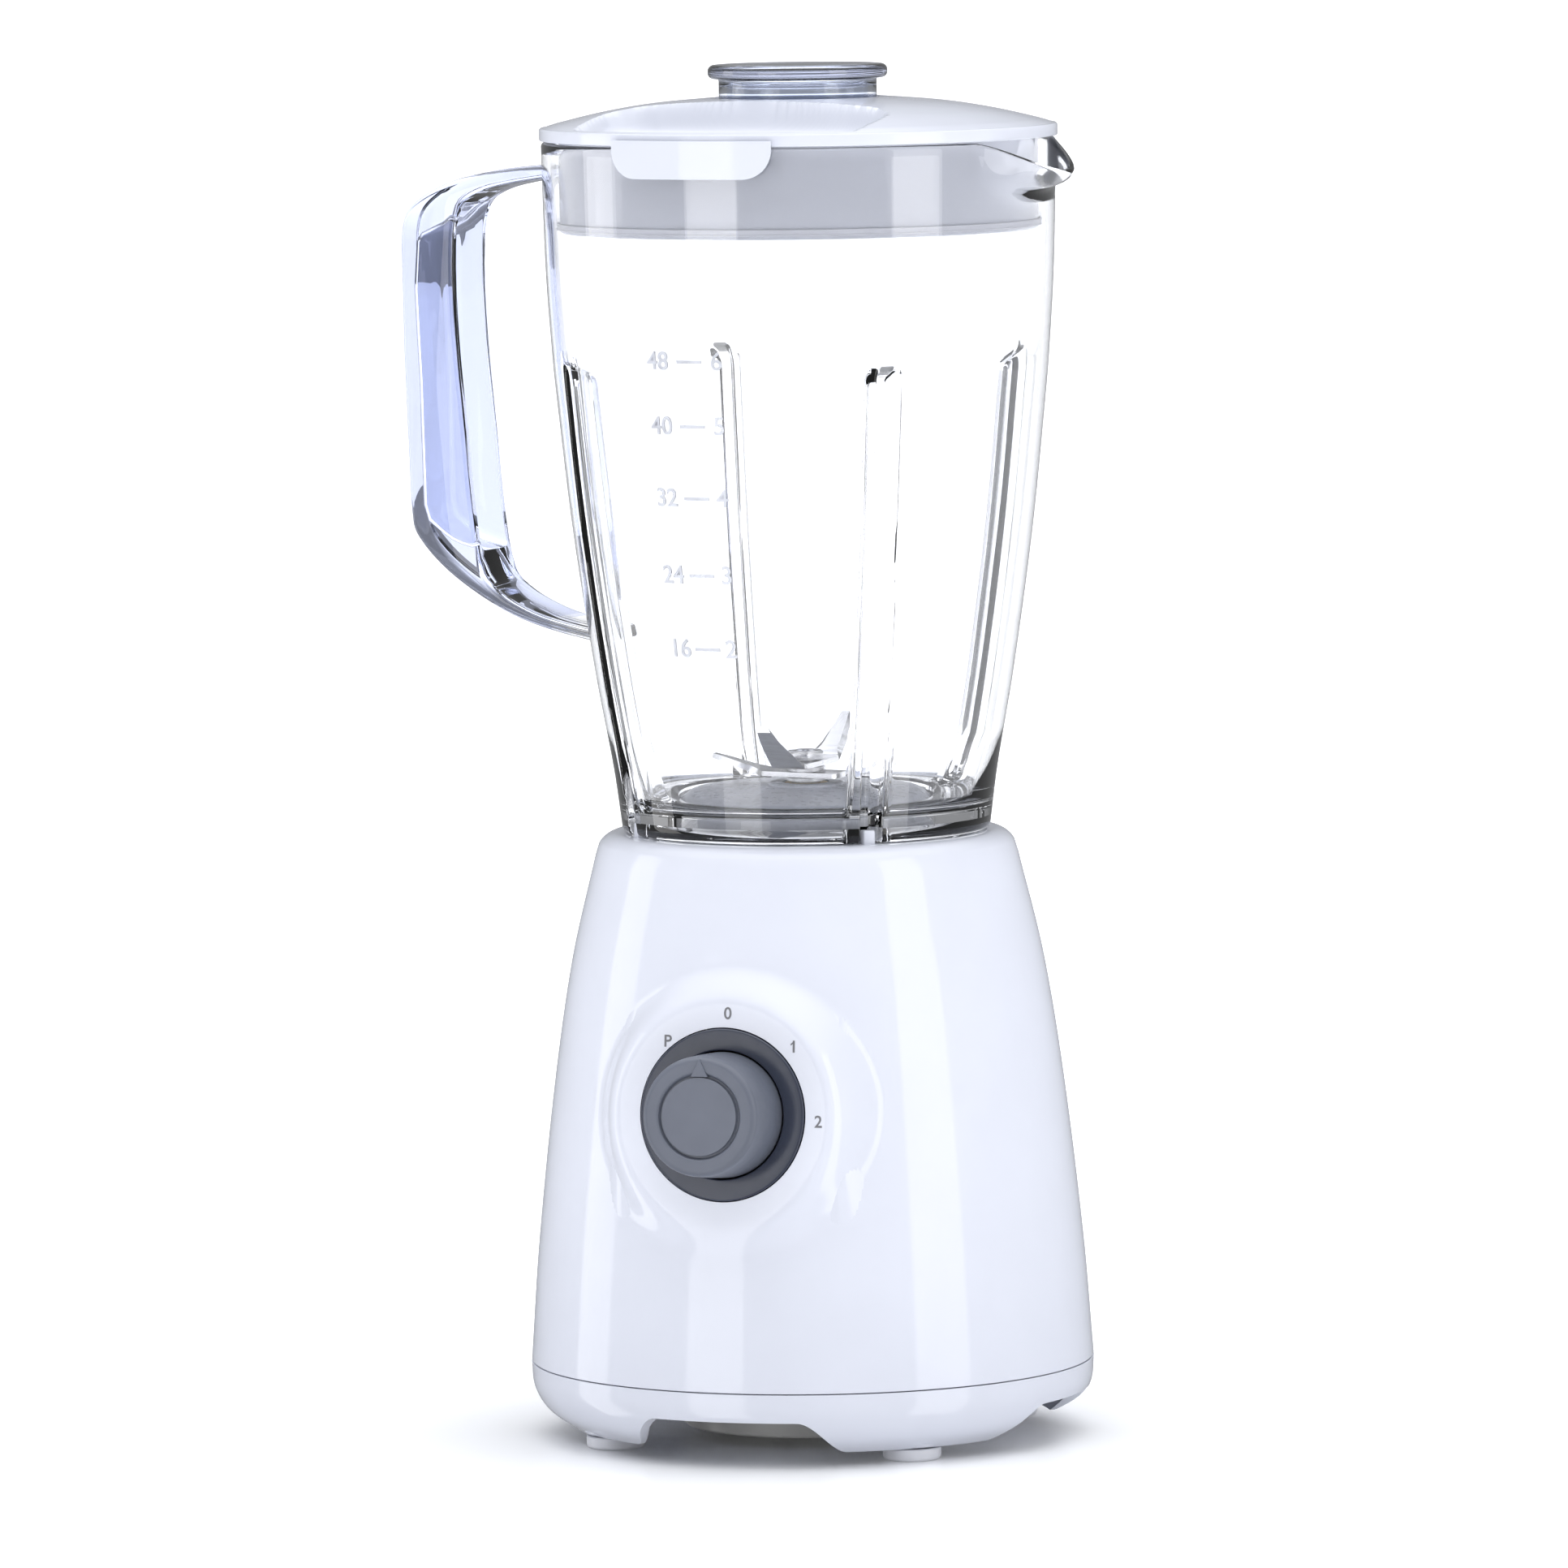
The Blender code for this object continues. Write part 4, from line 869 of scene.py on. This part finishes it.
# %% Camera
view_turn, view_down, view_roll = math.radians(19), math.radians(5.204), math.radians(-0.7)
back = Vector((math.sin(view_turn), -math.cos(view_turn), 0))
right = Vector((math.cos(view_turn), math.sin(view_turn), 0))
camera = bpy.data.objects.new("camera", bpy.data.cameras.new("camera"))
scene.collection.objects.link(camera)
scene.camera = camera
stand_point = Vector((axis_x, axis_y, 0.475)) + back * 3.23 - right * 0.0061
tilt = Matrix.Rotation(math.pi / 2 - view_down, 4, "X") @ Matrix.Rotation(view_roll, 4, "Z")
camera.matrix_world = Matrix.Translation(stand_point) @ Matrix.Rotation(view_turn, 4, "Z") @ tilt
camera.data.lens, camera.data.sensor_width, camera.data.clip_end = 268.7, 36, 200
print("camera at", [round(value, 3) for value in stand_point])

# %% [markdown]
# ## Light
# A product like this is lit by tall softboxes, which draw long bright strips down the glossy sides. The
# room is bright overhead, which lights the lid, and ten times dimmer all round. So the edges of the clear
# plastic, which bend that dim light toward the eye, read darker than the middle.

# %% Softboxes and room
def softbox(name, from_camera, width, low, high, radiance, distance=2.0):
    """A tall area light at an angle in degrees to the right of the camera, turned to the blender."""
    light = bpy.data.objects.new(name, bpy.data.lights.new(name, "AREA"))
    scene.collection.objects.link(light)
    turn = math.radians(from_camera)
    away = back * math.cos(turn) + right * math.sin(turn)
    light.location = Vector((axis_x, axis_y, (low + high) / 2)) + away * distance
    light.rotation_euler = away.to_track_quat("Z", "Y").to_euler()
    light.data.shape, light.data.size, light.data.size_y = "RECTANGLE", width, high - low
    light.data.energy = radiance * math.pi * width * (high - low)
    light.data.color = (1.0, 0.995, 0.99)


softbox("softbox_left", -40, 0.85, -1.5, 0.72, 1.9)
softbox("softbox_right", 54, 0.85, -1.5, 1.6, 1.9)
softbox("softbox_side", -101, 0.7, -1.5, 1.15, 1.6)

wall_light, ceiling_light = 0.3, 3.0
world = bpy.data.worlds.new("room")
scene.world = world
world.use_nodes = True
nodes, links = world.node_tree.nodes, world.node_tree.links
sky = nodes["Background"]
coords, parts = nodes.new("ShaderNodeTexCoord"), nodes.new("ShaderNodeSeparateXYZ")
links.new(coords.outputs["Generated"], parts.inputs["Vector"])
above = nodes.new("ShaderNodeMapRange")
above.inputs["From Min"].default_value, above.inputs["From Max"].default_value = 0.5, 0.97
links.new(parts.outputs["Z"], above.inputs["Value"])
rise = nodes.new("ShaderNodeMix")
rise.inputs["A"].default_value, rise.inputs["B"].default_value = wall_light, ceiling_light
links.new(above.outputs["Result"], rise.inputs["Factor"])
seen, path = nodes.new("ShaderNodeMix"), nodes.new("ShaderNodeLightPath")
seen.inputs["B"].default_value = 1.0
links.new(path.outputs["Is Camera Ray"], seen.inputs["Factor"])
links.new(rise.outputs["Result"], seen.inputs["A"])
sky.inputs["Color"].default_value = (0.96, 0.975, 1.0, 1)
links.new(seen.outputs["Result"], sky.inputs["Strength"])
scene.view_settings.view_transform = "Standard"

# %% [markdown]
# ## The floor
# The blender stands on a white floor, a little glossy, so that there is a faint mirror image of its feet. The
# floor also glows as painted light, more away from the blender, so that it reads pure white; near the base it
# doesn't glow, which leaves a soft shadow there.

# %% Floor
floor_mesh = bmesh.new()
bmesh.ops.create_grid(floor_mesh, x_segments=2, y_segments=2, size=60)
floor = piece("floor", floor_mesh)
floor_with_painted_glow, floor_shader = new_finish("floor_with_painted_glow", (0.9, 0.905, 0.92))
floor_shader.inputs["Roughness"].default_value = 0.28
floor_shader.inputs["Specular IOR Level"].default_value = 0.25
# The floor's glow is painted light: none within 6 cm of the blender's axis, rising to half strength at 26 cm, so
# the far floor reads white.
floor_shader.inputs["Emission Color"].default_value = (1, 1, 1, 1)
glow = floor_with_painted_glow.node_tree
place, reach = glow.nodes.new("ShaderNodeTexCoord"), glow.nodes.new("ShaderNodeVectorMath")
reach.operation = "LENGTH"
painted_glow = glow.nodes.new("ShaderNodeMapRange")
for socket, value in (("From Min", 0.06), ("From Max", 0.26), ("To Min", 0.0), ("To Max", 0.5)):
    painted_glow.inputs[socket].default_value = value
glow.links.new(place.outputs["Object"], reach.inputs[0])
glow.links.new(reach.outputs["Value"], painted_glow.inputs["Value"])
glow.links.new(painted_glow.outputs["Result"], floor_shader.inputs["Emission Strength"])
floor.data.materials.append(floor_with_painted_glow)
floor.visible_glossy = False
print("floor at height", round(floor.data.vertices[0].co.z, 4))
